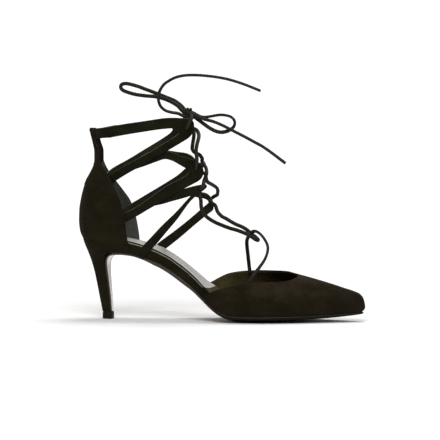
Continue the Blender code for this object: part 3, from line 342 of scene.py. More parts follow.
END_LOWER: tuple[Point, ...] = (
    (97.2, -9.0, 177.8), (102.0, -13.4, 176.2), (106.8, -14.2, 174.0), (113.1, -15.4, 172.0),
    (120.2, -16.6, 170.1), (127.4, -17.8, 167.2), (134.4, -18.8, 163.8), (141.4, -19.6, 160.3),
    (148.4, -20.4, 156.8), (155.4, -21.2, 153.1), (162.4, -22.0, 149.4), (169.4, -22.8, 144.8),
    (176.3, -23.6, 139.8), (182.7, -24.4, 135.1),
)


def place(points: Array) -> Array:
    """Shoe millimetres to row metres."""
    return (np.asarray(points, float) - FRAME_ORIGIN) * MM


def unit(vectors: Array) -> Array:
    """Vectors made one long."""
    return vectors / np.maximum(np.linalg.norm(vectors, axis=-1, keepdims=True), 1e-9)


def outsole_top(x: Array | float) -> Array:
    """Height of the outsole's top face, under the upper."""
    return OUTSOLE.read("x", "z", x) + OUTSOLE.read("x", "rise", x) + OUTSOLE.read("x", "edge", x)


def seat(x: Array | float) -> Array:
    """Height of the heel seat."""
    return SEAT_HIGH - SEAT_SLOPE * (x - SEAT_BACK_X)


def rounded(share: Array) -> Array:
    """Width of a round back, 0 at the back and 1 at the front."""
    return np.sqrt(1.0 - (1.0 - share) ** CUP_ROUND)


def cup_half(x: Array | float, z: Array | float) -> Array:
    """Half width of the heel cup.

    Args:
        x: Place along the shoe.
        z: Height.
    Returns:
        The half width, which stays the same in front of the cup's lateral edge.
    """
    back, front = COUNTER.read("z", "back", z), COUNTER.read("z", "lat", z)
    return COUNTER.read("z", "half", z) * rounded(np.clip((x - back) / (front - back), 0.0, 1.0))


def toe_share(thick: float) -> float:
    """Share of the toe's length that is left inside a wall of this thickness."""
    return 1.0 - thick * TOE_DRAW / (TOE_X - TOE_START_X)


def ankle(x: Array | float, z: Array | float) -> Array:
    """Half width of the ankle under the straps.

    Args:
        x: Place along the shoe.
        z: Height.
    Returns:
        The half width.
    """
    half, full = ANKLE.read("z", "half", z), ANKLE.read("z", "full", z)
    back, front = ANKLE.read("z", "back", z), ANKLE.read("z", "front", z)
    behind = np.clip((COLLAR_MID_X - x) / (COLLAR_MID_X - back), 0.0, 1.0)
    ahead = np.clip((x - COLLAR_MID_X) / (front - COLLAR_MID_X), 0.0, 1.0)
    return half * np.where(x < COLLAR_MID_X, (1.0 - behind ** 2.2) ** full, (1.0 - ahead ** 2.4) ** 0.6)


def ankle_normal(x: float, z: float, side: float) -> Array:
    """Outward direction of the ankle surface at a strap's hole.

    Args:
        x: Place along the shoe.
        z: Height.
        side: -1 lateral, 1 medial.
    Returns:
        The direction, one long.
    """
    dx = (ankle(x + 0.5, z) - ankle(x - 0.5, z))
    dz = (ankle(x, z + 0.5) - ankle(x, z - 0.5))
    return unit(np.array((-float(dx), side, -float(dz))))


class Side(Enum):
    """The two sides of the shoe."""

    LATERAL = -1
    MEDIAL = 1


# Materials

class Value:
    """A shader value that adds Math nodes where it is used in an expression."""

    def __init__(self, graph: "Graph", socket: Socket) -> None:
        """Wrap one output socket."""
        self.graph = graph
        self.socket = socket

    def _math(self, operation: str, first: "Value | float", second: "Value | float") -> "Value":
        """Add one Math node."""
        made = self.graph.node("ShaderNodeMath", {"operation": operation}, {0: first, 1: second})
        return Value(self.graph, made.outputs[0])

    def __add__(self, other: "Value | float") -> "Value":
        """Sum."""
        return self._math("ADD", self, other)

    def __sub__(self, other: "Value | float") -> "Value":
        """Difference."""
        return self._math("SUBTRACT", self, other)

    def __rsub__(self, other: float) -> "Value":
        """A number less this value."""
        return self._math("SUBTRACT", other, self)

    def __mul__(self, other: "Value | float") -> "Value":
        """Product."""
        return self._math("MULTIPLY", self, other)

    def __pow__(self, other: float) -> "Value":
        """Power."""
        return self._math("POWER", self, other)

    __radd__ = __add__
    __rmul__ = __mul__

    def larger(self, other: "Value | float") -> "Value":
        """The larger of two values."""
        return self._math("MAXIMUM", self, other)

    def spread(self, low: float, high: float) -> "Value":
        """This value from low to high as 0 to 1, eased.

        Args:
            low: Value that becomes 0.
            high: Value that becomes 1.
        Returns:
            The eased value.
        """
        made = self.graph.node("ShaderNodeMapRange", {"interpolation_type": "SMOOTHSTEP"},
                               {"Value": self, "From Min": low, "From Max": high})
        return Value(self.graph, made.outputs[0])


class Graph:
    """Node tree of one material, or of the world."""

    def __init__(self, name: str, world: bool = False) -> None:
        """Start a material with its Principled shader, or a world with its background.

        Args:
            name: Name of the material or world.
            world: Whether it is a world.
        """
        self.owner = bpy.data.worlds.new(name) if world else bpy.data.materials.new(name)
        self.owner.use_nodes = True
        self.tree = self.owner.node_tree
        self.shader = self.tree.nodes["Background" if world else "Principled BSDF"]

    def node(self, kind: str, settings: dict | None = None, inputs: dict | None = None) -> bpy.types.Node:
        """Add a node.

        Args:
            kind: The node's type.
            settings: Properties, set first.
            inputs: Values or links by socket name or number.
        Returns:
            The node.
        """
        made = self.tree.nodes.new(kind)
        for name, value in (settings or {}).items():
            setattr(made, name, value)
        for key, value in (inputs or {}).items():
            self.feed(made.inputs[key], value)
        return made

    def feed(self, socket: Socket, value: object) -> None:
        """Link a value to a socket, or set the socket.

        Args:
            socket: Input socket.
            value: Shader value, output socket, colour or number.
        """
        if isinstance(value, Value):
            self.tree.links.new(value.socket, socket)
        elif isinstance(value, Socket):
            self.tree.links.new(value, socket)
        elif isinstance(value, tuple) and len(value) == 3 and socket.type == "RGBA":
            socket.default_value = (*value, 1.0)
        else:
            socket.default_value = value

    def coords(self, stretch: Point = (1.0, 1.0, 1.0)) -> Socket:
        """Object coordinates, stretched along the axes.

        Args:
            stretch: Factors along x, y and z.
        Returns:
            The vector output.
        """
        place_of = self.node("ShaderNodeTexCoord").outputs["Object"]
        if stretch == (1.0, 1.0, 1.0):
            return place_of
        return self.node("ShaderNodeMapping", None, {"Vector": place_of, "Scale": stretch}).outputs[0]

    def axis(self, which: int) -> Value:
        """One object coordinate, in millimetres."""
        split = self.node("ShaderNodeSeparateXYZ", None, {0: self.coords()})
        return Value(self, split.outputs[which]) * PER_METRE

    def noise(self, size: float, detail: float = 2.0, rough: float = 0.5,
              stretch: Point = (1.0, 1.0, 1.0)) -> Value:
        """Cloudy noise with features of a size in millimetres.

        Args:
            size: Feature size.
            detail: Octaves.
            rough: Strength of the finer octaves.
            stretch: Factors along x, y and z.
        Returns:
            The noise, about 0 to 1.
        """
        made = self.node("ShaderNodeTexNoise", None, {
            "Vector": self.coords(stretch), "Scale": PER_METRE / size, "Detail": detail, "Roughness": rough})
        return Value(self, made.outputs[0])

    def cells(self, size: float) -> Value:
        """Pebbled leather cells of a size in millimetres: distance from each cell's middle."""
        made = self.node("ShaderNodeTexVoronoi", None, {"Vector": self.coords(), "Scale": PER_METRE / size})
        return Value(self, made.outputs[0])

    def mix(self, factor: Value, first: object, second: object) -> Socket:
        """Colour between two colours."""
        made = self.node("ShaderNodeMix", {"data_type": "RGBA"}, {0: factor, 6: first, 7: second})
        return made.outputs[2]

    def bump(self, height: Value, depth: float, strength: float = 1.0,
             under: Socket | None = None) -> Socket:
        """Normal from a height of 0 to 1.

        Args:
            height: The height.
            depth: What a height of 1 measures, millimetres.
            strength: How much of it shows.
            under: Normal below this one.
        Returns:
            The normal output.
        """
        inputs = {"Height": height, "Distance": depth * MM, "Strength": strength}
        if under is not None:
            inputs["Normal"] = under
        return self.node("ShaderNodeBump", None, inputs).outputs[0]

    def done(self, **sockets: object) -> bpy.types.ID:
        """Set the shader's sockets.

        Args:
            sockets: Values by socket name, with underscores for spaces.
        Returns:
            The material or world.
        """
        for name, value in sockets.items():
            self.feed(self.shader.inputs[name.replace("_", " ")], value)
        return self.owner


@dataclass(frozen=True)
class Suede:
    """Napped black suede: cloudy brushed patches over a fine fibre."""

    name: str = "suede"
    deep: Colour = (0.0066, 0.0058, 0.0021)
    worn_and_top_lit: Colour = (0.0128, 0.0110, 0.0048)
    sheen: float = 0.035
    sheen_tint: Colour = (0.75, 0.58, 0.40)
    painted_light_heights: tuple[float, float] | None = None      # heights between which the lighter tone comes in: painted top light

    def material(self) -> Material:
        """Build the suede.

        Returns:
            The material.
        """
        g = Graph(self.name)
        patch = g.noise(13.0, 3.0, 0.55, (0.7, 1.0, 1.2))
        nap = g.noise(1.5, 3.0, 0.6, (0.8, 1.0, 1.3))
        fibre = g.noise(0.34, 2.0, 0.6)
        tone = (patch * 0.5 + nap * 0.3 + fibre * 0.2).spread(0.38, 0.64)
        # Painted top light: between the given heights the tone lightens toward the top of the piece.
        if self.painted_light_heights:
            tone = tone * (g.axis(2).spread(*self.painted_light_heights) * 0.6 + 0.4)
        normal = g.bump(fibre, 0.16, 0.8, g.bump(nap, 0.22, 0.5))
        return g.done(Base_Color=g.mix(tone, self.deep, self.worn_and_top_lit), Roughness=0.94 - tone * 0.08,
                      Normal=normal, Specular_IOR_Level=0.05, Sheen_Weight=self.sheen, Sheen_Roughness=0.45,
                      Sheen_Tint=(*self.sheen_tint, 1.0))


@dataclass(frozen=True)
class Lining:
    """Thin dark lining leather with a fine pebbled grain."""

    name: str = "lining"
    dark: Colour = (0.032, 0.031, 0.026)
    light: Colour = (0.058, 0.056, 0.050)
    rough: float = 0.5
    shine: float = 0.3
    painted_shade_span: tuple[float, float] | None = None      # places along the shoe between which painted shade darkens it
    painted_shade_colour: Colour = (0.010, 0.0072, 0.0032)

    def material(self) -> Material:
        """Build the lining.

        Returns:
            The material.
        """
        g = Graph(self.name)
        grain = g.cells(0.75)
        cloud = g.noise(7.0, 3.0)
        colour = g.mix((cloud * 0.7 + grain * 0.3).spread(0.3, 0.65), self.dark, self.light)
        # Painted shade: the lining darkens further along the shoe, toward the toe.
        if self.painted_shade_span:
            colour = g.mix(g.axis(0).spread(*self.painted_shade_span) * 0.65, colour, self.painted_shade_colour)
        return g.done(Base_Color=colour, Roughness=self.rough + cloud * 0.18, Normal=g.bump(grain, 0.12, 0.6),
                      Specular_IOR_Level=self.shine)


@dataclass(frozen=True)
class CutEdge:
    """Painted cut edge of a strap or topline, a little lighter than the nap; on the straps the lighter tone
    is partly a painted highlight of the light from above.
    """

    name: str = "cut_edge"
    dark: Colour = (0.036, 0.034, 0.022)
    light: Colour = (0.086, 0.082, 0.058)

    def material(self) -> Material:
        """Build the edge.

        Returns:
            The material.
        """
        g = Graph(self.name)
        grain = g.noise(0.8, 3.0, 0.6)
        return g.done(Base_Color=g.mix(grain.spread(0.35, 0.7), self.dark, self.light),
                      Roughness=0.55 + grain * 0.2, Normal=g.bump(grain, 0.1, 0.5), Specular_IOR_Level=0.15)


@dataclass(frozen=True)
class SockLeather:
    """Smooth pale grey leather with soft cross wrinkles over the arch."""

    name: str = "sock_leather"
    dark: Colour = (0.35, 0.342, 0.325)
    light: Colour = (0.60, 0.592, 0.57)
    fuzz: Colour = (0.17, 0.166, 0.155)

    def material(self) -> Material:
        """Build the sock leather.

        Returns:
            The material.
        """
        g = Graph(self.name)
        cloud = g.noise(14.0, 3.0)
        wrinkle = g.noise(3.2, 3.0, 0.5, (1.6, 0.4, 1.6))
        grain = g.cells(0.6)
        tone = (cloud * 0.55 + wrinkle * 0.25 + grain * 0.3).spread(0.25, 0.8)
        fuzz = g.noise(1.1, 3.0, 0.7).spread(0.46, 0.62) * g.axis(1).spread(-16.0, 2.0)
        normal = g.bump(grain, 0.06, 0.5, g.bump(wrinkle, 0.25, 0.4))
        colour = g.mix(fuzz * 0.4, g.mix(tone, self.dark, self.light), self.fuzz)
        return g.done(Base_Color=colour, Roughness=0.48 - tone * 0.1, Normal=normal, Specular_IOR_Level=0.35)


@dataclass(frozen=True)
class SoleLeather:
    """Polished sole leather: paler on the breast, where its pale tone is lightened further as painted light,
    pinkish brown underneath.
    """

    name: str = "sole_leather"
    pale: Colour = (0.46, 0.42, 0.38)
    brown: Colour = (0.33, 0.26, 0.22)
    breast: Colour = (0.80, 0.785, 0.75)
    scuff: Colour = (0.20, 0.15, 0.12)

    def material(self) -> Material:
        """Build the sole leather.

        Returns:
            The material.
        """
        g = Graph(self.name)
        height = g.axis(2)
        streak = g.noise(5.0, 3.0, 0.5, (0.25, 1.0, 1.0))
        fine = g.noise(0.5, 2.0)
        tone = streak.spread(0.3, 0.75)
        scuff = g.noise(14.0, 4.0, 0.65).spread(0.56, 0.74) * (1.0 - height.spread(0.6, 3.0))
        # Painted light: the breast flap takes a much paler copy of the leather, for the light it catches and
        # reflects.
        lit_breast = 1.0 - g.axis(0).spread(-95.0, -82.0)
        leather = g.mix(lit_breast, g.mix(tone, self.brown, self.pale), self.breast)
        return g.done(Base_Color=g.mix(scuff * 0.5, leather, self.scuff),
                      Roughness=0.24 + streak * 0.14 + scuff * 0.3, Normal=g.bump(fine, 0.04, 0.4),
                      Coat_Weight=0.5, Coat_Roughness=0.16)


@dataclass(frozen=True)
class SoleEdge:
    """Burnished sole edge: brown along the waist, black round the forefoot."""

    name: str = "sole_edge"
    deep: Colour = (0.042, 0.032, 0.026)
    brown: Colour = (0.080, 0.058, 0.048)
    black: Colour = (0.0068, 0.0060, 0.0040)

    def material(self) -> Material:
        """Build the edge.

        Returns:
            The material.
        """
        g = Graph(self.name)
        layers = g.noise(1.2, 3.0, 0.6, (0.08, 0.3, 3.0))
        forward = g.axis(0).spread(-18.0, 6.0)
        colour = g.mix(layers.spread(0.3, 0.75), self.deep, self.brown)
        return g.done(Base_Color=g.mix(forward, colour, self.black), Roughness=0.5 + layers * 0.2,
                      Normal=g.bump(layers, 0.08, 0.5), Specular_IOR_Level=0.1)


@dataclass(frozen=True)
class BoardEdge:
    """Olive cut edge of the insole cover, showing as a fine light line along the waist."""

    name: str = "board_edge"
    dark: Colour = (0.105, 0.100, 0.070)
    light: Colour = (0.22, 0.21, 0.16)

    def material(self) -> Material:
        """Build the edge.

        Returns:
            The material.
        """
        g = Graph(self.name)
        fleck = g.noise(1.1, 3.0, 0.6)
        return g.done(Base_Color=g.mix(fleck.spread(0.3, 0.7), self.dark, self.light),
                      Roughness=0.5 + fleck * 0.2, Normal=g.bump(fleck, 0.08, 0.5), Specular_IOR_Level=0.2)


@dataclass(frozen=True)
class TipRubber:
    """Hard black rubber of the heel's top piece."""

    name: str = "tip_rubber"
    black: Colour = (0.0085, 0.0078, 0.0038)
    grey: Colour = (0.018, 0.0165, 0.0095)

    def material(self) -> Material:
        """Build the rubber.

        Returns:
            The material.
        """
        g = Graph(self.name)
        fine = g.noise(0.6, 3.0)
        scuff = g.noise(2.5, 3.0, 0.6, (1.0, 1.0, 0.3)).spread(0.5, 0.75)
        return g.done(Base_Color=g.mix(scuff, self.black, self.grey), Roughness=0.55 + fine * 0.25,
                      Normal=g.bump(fine, 0.05, 0.5), Specular_IOR_Level=0.1)


@dataclass(frozen=True)
class WaxedCord:
    """Waxed braid: dark strands with a soft shine on their crowns, where a lighter base colour adds a painted
    highlight.
    """

    name: str = "waxed_cord"
    dark: Colour = (0.0056, 0.0042, 0.0019)
    light: Colour = (0.0185, 0.0140, 0.0068)

    def material(self) -> Material:
        """Build the cord's finish from the braid's own height.

        Returns:
            The material.
        """
        g = Graph(self.name)
        crown = Value(g, g.node("ShaderNodeAttribute", {"attribute_name": "crown"}).outputs["Fac"])
        fleck = g.noise(0.9, 3.0, 0.6)
        # Painted highlight: the base colour lightens on the strands' crowns; the lower roughness there gives
        # real shine.
        tone = (crown * 0.7 + fleck * 0.5).spread(0.35, 1.0)
        return g.done(Base_Color=g.mix(tone, self.dark, self.light), Roughness=0.72 - tone * 0.26,
                      Normal=g.bump(fleck, 0.05, 0.4), Specular_IOR_Level=0.2)


@dataclass(frozen=True)
class Thread:
    """Black sewing thread."""

    name: str = "thread"
    dark: Colour = (0.0060, 0.0052, 0.0036)
    light: Colour = (0.0130, 0.0112, 0.0080)

    def material(self) -> Material:
        """Build the thread.

        Returns:
            The material.
        """
        g = Graph(self.name)
        twist = g.noise(0.3, 2.0)
        return g.done(Base_Color=g.mix(twist.spread(0.35, 0.65), self.dark, self.light), Roughness=0.6,
                      Specular_IOR_Level=0.15)


class Palette:
    """Every finish of the shoe, built once."""

    def __init__(self) -> None:
        """Build the materials."""
        self.suede = Suede().material()
        # The vamp's suede lightens with height from 10 to 30 mm: painted top light.
        self.vamp_suede = Suede("vamp_suede", (0.0078, 0.0065, 0.0030), (0.0215, 0.0150, 0.0080), 0.04,
                                (0.80, 0.55, 0.38), (10.0, 30.0)).material()
        self.lining = Lining().material()
        # The vamp lining darkens deeper inside the toe: painted shade.
        self.vamp_lining = Lining("vamp_lining", (0.030, 0.023, 0.0080), (0.060, 0.046, 0.018), 0.6, 0.12,
                                  (0.0, 45.0)).material()
        self.strap_suede = Suede("strap_suede", (0.0056, 0.0053, 0.0023), (0.0108, 0.0101, 0.0050),
                                 0.033).material()
        # Inside face of the straps: the strap suede made more than twice as light, painted light standing in
        # for the light this face misses.
        self.strap_back = Suede("strap_back", (0.0136, 0.0126, 0.0072), (0.0252, 0.0230, 0.0134),
                                0.04).material()
        self.cut_edge = CutEdge().material()
        self.sock = SockLeather().material()
        self.sole = SoleLeather().material()
        self.sole_edge = SoleEdge().material()
        self.board_edge = BoardEdge().material()
        self.tip = TipRubber().material()
        self.cord = WaxedCord().material()
        self.thread = Thread().material()
        self.lining_thread = Thread("lining_thread", (0.040, 0.034, 0.020), (0.085, 0.072, 0.045)).material()
        self.sock_side = Lining("sock_side", (0.013, 0.011, 0.006), (0.024, 0.020, 0.011), 0.6,
                                0.15).material()
        self.binding = CutEdge("binding", (0.034, 0.028, 0.015), (0.080, 0.068, 0.040)).material()
        # Grey line along the sole's top edge: a painted highlight where the glossy black edge catches the
        # light.
        self.feather = CutEdge("feather_line", (0.020, 0.017, 0.013), (0.048, 0.041, 0.033)).material()


# Mesh building

def linked(name: str, data: bpy.types.ID) -> Object:
    """New object in the scene.

    Args:
        name: Its name.
        data: Its mesh, lamp or camera.
    Returns:
        The object.
    """
    made = bpy.data.objects.new(name, data)
    bpy.context.scene.collection.objects.link(made)
    return made


def make_piece(name: str, verts: Array, faces: Faces, materials: list[Material],
               slots: list[int] | None = None, sharp: float | None = None) -> Object:
    """Smooth mesh object in the row frame.

    Args:
        name: Piece name.
        verts: Points, shoe millimetres.
        faces: Faces with outward winding.
        materials: Material slots.
        slots: Slot of each face.
        sharp: Angle in degrees above which an edge stays crisp.
    Returns:
        The object, turned outward if its winding was inward.
    """
    mesh = bpy.data.meshes.new(name)
    mesh.from_pydata([tuple(v) for v in place(verts)], [], [tuple(f) for f in faces])
    for material in materials:
        mesh.materials.append(material)
    if slots is not None:
        mesh.polygons.foreach_set("material_index", np.array(slots, np.int32))
    mesh.polygons.foreach_set("use_smooth", np.ones(len(mesh.polygons), bool))
    if signed_volume(mesh) < 0.0:
        mesh.flip_normals()
    if sharp is not None:
        mesh.set_sharp_from_angle(angle=math.radians(sharp))
    mesh.update()
    return linked(name, mesh)


def signed_volume(mesh: bpy.types.Mesh) -> float:
    """Volume of a mesh, negative if it faces inward.

    Args:
        mesh: A closed mesh.
    Returns:
        Cubic metres.
    """
    mesh.calc_loop_triangles()
    points = np.empty(len(mesh.vertices) * 3, np.float32)
    mesh.vertices.foreach_get("co", points)
    index = np.empty(len(mesh.loop_triangles) * 3, np.int32)
    mesh.loop_triangles.foreach_get("vertices", index)
    tri = points.reshape(-1, 3).astype(float)[index.reshape(-1, 3)]
    return float(np.einsum("ij,ij->i", tri[:, 0], np.cross(tri[:, 1], tri[:, 2])).sum() / 6.0)


def grid_faces(rows: int, columns: int) -> Faces:
    """Quads of a grid numbered row by row."""
    return [(r * columns + c, r * columns + c + 1, (r + 1) * columns + c + 1, (r + 1) * columns + c)
            for r in range(rows - 1) for c in range(columns - 1)]


def loft(rings: list[Array], bands: list[int]) -> tuple[Array, Faces, list[int]]:
    """Closed body through rings of equal count.

    Args:
        rings: Point rings.
        bands: Material slot of each step round a ring.
    Returns:
        Points, faces and the slot of each face.
    """
    count = len(rings[0])
    verts = np.vstack(list(rings) + [rings[0].mean(axis=0), rings[-1].mean(axis=0)])
    faces: Faces = []
    slots: list[int] = []
    for r in range(len(rings) - 1):
        for k in range(count):
            n = (k + 1) % count
            faces.append((r * count + k, r * count + n, (r + 1) * count + n, (r + 1) * count + k))
            slots.append(bands[k])
    first, last = len(rings) * count, (len(rings) - 1) * count
    for k in range(count):
        n = (k + 1) % count
        faces.append((n, k, first))
        faces.append((last + k, last + n, first + 1))
        slots += [bands[0], bands[0]]
    return verts, faces, slots


def lofted(name: str, rings: list[Array], material: Material, sharp: float | None = None) -> Object:
    """Closed piece of one material through rings.

    Args:
        name: Piece name.
        rings: Point rings of equal count.
        material: Its material.
        sharp: Angle in degrees above which an edge stays crisp.
    Returns:
        The piece.
    """
    verts, faces, slots = loft(rings, [0] * len(rings[0]))
    return make_piece(name, verts, faces, [material], slots, sharp)


def applied(made: Object) -> bpy.types.Mesh:
    """Mesh of an object with its modifiers, which are then taken off.

    Args:
        made: The object.
    Returns:
        A new mesh.
    """
    bpy.context.view_layer.update()
    mesh = bpy.data.meshes.new_from_object(made.evaluated_get(bpy.context.evaluated_depsgraph_get()))
    made.modifiers.clear()
    return mesh


@dataclass
class Wall:
    """Leather wall on a sheet of faces: outer face, inner face and a rounded rim."""

    verts: Array
    faces: Faces
    thick: Array | float
    centre: Point
    under: float = 1.0
    bulge: float = 0.4
    rim_steps: int = 3
    inner: Array | None = None
    puff: Array | None = None

    def merged(self) -> None:
        """Join points of the sheet that coincide."""
        seen: dict[tuple[float, ...], int] = {}
        index = [seen.setdefault(tuple(np.round(v, 3)), len(seen)) for v in self.verts]
        first = list(range(len(index)))
        if len(seen) < len(index):
            first = [index.index(i) for i in range(len(seen))]
        self.verts = self.verts[first]
        self.thick = np.broadcast_to(np.asarray(self.thick, float), (len(index),))[first][:, None]
        self.inner = None if self.inner is None else self.inner[first]
        self.puff = None if self.puff is None else self.puff[first]
        tidy = [tuple(dict.fromkeys(index[i] for i in face)) for face in self.faces]
        self.faces = [face for face in tidy if len(face) > 2]

    def normals(self) -> Array:
        """Outward point normals; the faces are turned if they looked in.

        Returns:
            One normal for each point.
        """
        total = np.zeros_like(self.verts)
        for face in self.faces:
            p = self.verts[list(face)]
            total[list(face)] += np.cross(p[2] - p[0], p[-1] - p[1])
        lean = np.einsum("ij,ij->i", total, self.verts - np.array(self.centre))
        if lean.sum() < 0.0:
            self.faces = [face[::-1] for face in self.faces]
            total = -total
        return unit(total)

    def rim(self, normal: Array) -> tuple[list[tuple[int, int]], Array]:
        """Open edges of the sheet, and the way out of the sheet at each point.

        Args:
            normal: Point normals.
        Returns:
            The edges as pairs of points, and a direction for each point.
        """
        pairs = [(a, b) for face in self.faces for a, b in zip(face, face[1:] + face[:1])]
        known = set(pairs)
        edges = [(a, b) for a, b in pairs if (b, a) not in known]
        out = np.zeros_like(self.verts)
        for a, b in edges:
            step = unit(np.cross(self.verts[b] - self.verts[a], normal[a] + normal[b]))
            out[a] += step
            out[b] += step
        return edges, unit(out)

    def build(self, name: str, materials: list[Material]) -> Object:
        """Make the wall.

        Args:
            name: Piece name.
            materials: Outer face, inner face and rim, then the rim's inner edge if it differs.
        Returns:
            The piece.
        """
        self.merged()
        normal = self.normals()
        edges, out = self.rim(normal)
        outer = self.verts + normal * self.thick * (1.0 - self.under)
        inner = self.verts - normal * self.thick * self.under if self.inner is None else self.inner
        if self.puff is not None:
            outer = outer + normal * self.puff[:, None]
        open_points = sorted({i for edge in edges for i in edge})
        outer[open_points] -= out[open_points] * self.bulge
        inner = inner.copy()
        inner[open_points] -= out[open_points] * self.bulge
        count = len(outer)
        middle, half = (outer + inner) / 2, (outer - inner) / 2
        layers = [outer, inner]
        rank = {point: i for i, point in enumerate(open_points)}
        for step in range(1, self.rim_steps + 1):
            turn = math.pi * step / (self.rim_steps + 1)
            arc = middle + half * math.cos(turn) + out * self.bulge * math.sin(turn)
            layers.append(arc[open_points])
        faces = [tuple(f) for f in self.faces] + [tuple(i + count for i in f[::-1]) for f in self.faces]
        slots = [0] * len(self.faces) + [1] * len(self.faces)
        for a, b in edges:
            starts = [2 * count + step * len(open_points) for step in range(self.rim_steps)]
            down_a = [a] + [s + rank[a] for s in starts] + [a + count]
            down_b = [b] + [s + rank[b] for s in starts] + [b + count]
            for k in range(len(down_a) - 1):
                faces.append((down_b[k], down_a[k], down_a[k + 1], down_b[k + 1]))
                slots.append(len(materials) - 1 if k > self.rim_steps - 1 else 2)
        return make_piece(name, np.vstack(layers), faces, materials, slots)


def settled(route: Array, pitch: float) -> Array:
    """Smooth curve through a route, with points an even pitch apart.

    Args:
        route: Points to pass through.
        pitch: Spacing of the result, millimetres.
    Returns:
        The curve's points.
    """
    points = np.asarray(route, float)
    ends = np.vstack((2 * points[0] - points[1], points, 2 * points[-1] - points[-2]))
    path = [points[0]]
    for p0, p1, p2, p3 in zip(ends, ends[1:], ends[2:], ends[3:]):
        for t in np.arange(1, 13) / 12.0:
            path.append(0.5 * (2 * p1 + (p2 - p0) * t + (2 * p0 - 5 * p1 + 4 * p2 - p3) * t * t
                               + (3 * p1 - p0 - 3 * p2 + p3) * t ** 3))
    dense = np.array(path)
    length = np.concatenate(([0.0], np.cumsum(np.linalg.norm(np.diff(dense, axis=0), axis=1))))
    at = np.linspace(0.0, length[-1], max(2, round(length[-1] / pitch) + 1))
    return np.stack([np.interp(at, length, dense[:, k]) for k in range(3)], axis=1)


def path_length(path: Array) -> float:
    """Length of a polyline."""
    return float(np.linalg.norm(np.diff(path, axis=0), axis=1).sum())


@dataclass
class Braid:
    """Flat braided lace: strands cross in both directions round a core."""

    broad: float = LACE_BROAD
    thin: float = LACE_THIN
    sides: int = 20
    pitch: float = 0.36
    strands: int = 8
    lay: float = 2.9
    relief: float = 0.045

    @property
    def diameter(self) -> float:
        """Diameter of a round cord with the same section."""
        return math.sqrt(self.broad * self.thin)

    def build(self, name: str, route: Array, finish: Material,
              turned: Turns = ((0.0, 0.0),)) -> tuple[Object, Array]:
        """Make the cord.

        Args:
            name: Piece name.
            route: Points to pass through, shoe millimetres.
            finish: The cord's material.
            turned: How far the lace is turned on edge, in degrees, at shares of its length.
        Returns:
            The piece and its centre line.
        """
        path = settled(route, self.pitch)
        lie = np.radians(np.interp(np.linspace(0.0, 1.0, len(path)), *zip(*turned)))
        along = unit(np.gradient(path, axis=0))
        up = unit(np.cross(along[0], np.array((0.13, 1.0, 0.31))))
        turn = np.linspace(0.0, 2 * math.pi, self.sides, endpoint=False)
        rings, crown = [], []
        for i, (p, t) in enumerate(zip(path, along)):
            aim = np.cross(t, np.array((0.0, 1.0, 0.0)))
            up = up + 0.15 * aim * (1.0 if np.dot(aim, up) >= 0.0 else -1.0)
            up = unit(up - t * np.dot(up, t))
            side = np.cross(t, up)
            flat = up * math.cos(lie[i]) + side * math.sin(lie[i])
            edge = side * math.cos(lie[i]) - up * math.sin(lie[i])
            spin = 2 * math.pi * i * self.pitch / self.lay
            right = np.abs(np.cos((self.strands * turn + spin) / 2.0))
            left = np.abs(np.cos((self.strands * turn - spin) / 2.0))
            height = np.maximum(right, left)
            radius = 0.5 + 0.5 * self.relief * (height - 0.85) / 0.3
            section = np.outer(np.cos(turn), flat * self.broad) + np.outer(np.sin(turn), edge * self.thin)
            rings.append(p + section * radius[:, None])
            crown.append((height - 0.7) / 0.3)
        made = lofted(name, rings, finish)
        mark = made.data.attributes.new("crown", "FLOAT", "POINT")
        mark.data.foreach_set("value", np.concatenate((np.ravel(crown), (0.0, 0.0))).astype(np.float32))
        return made, path


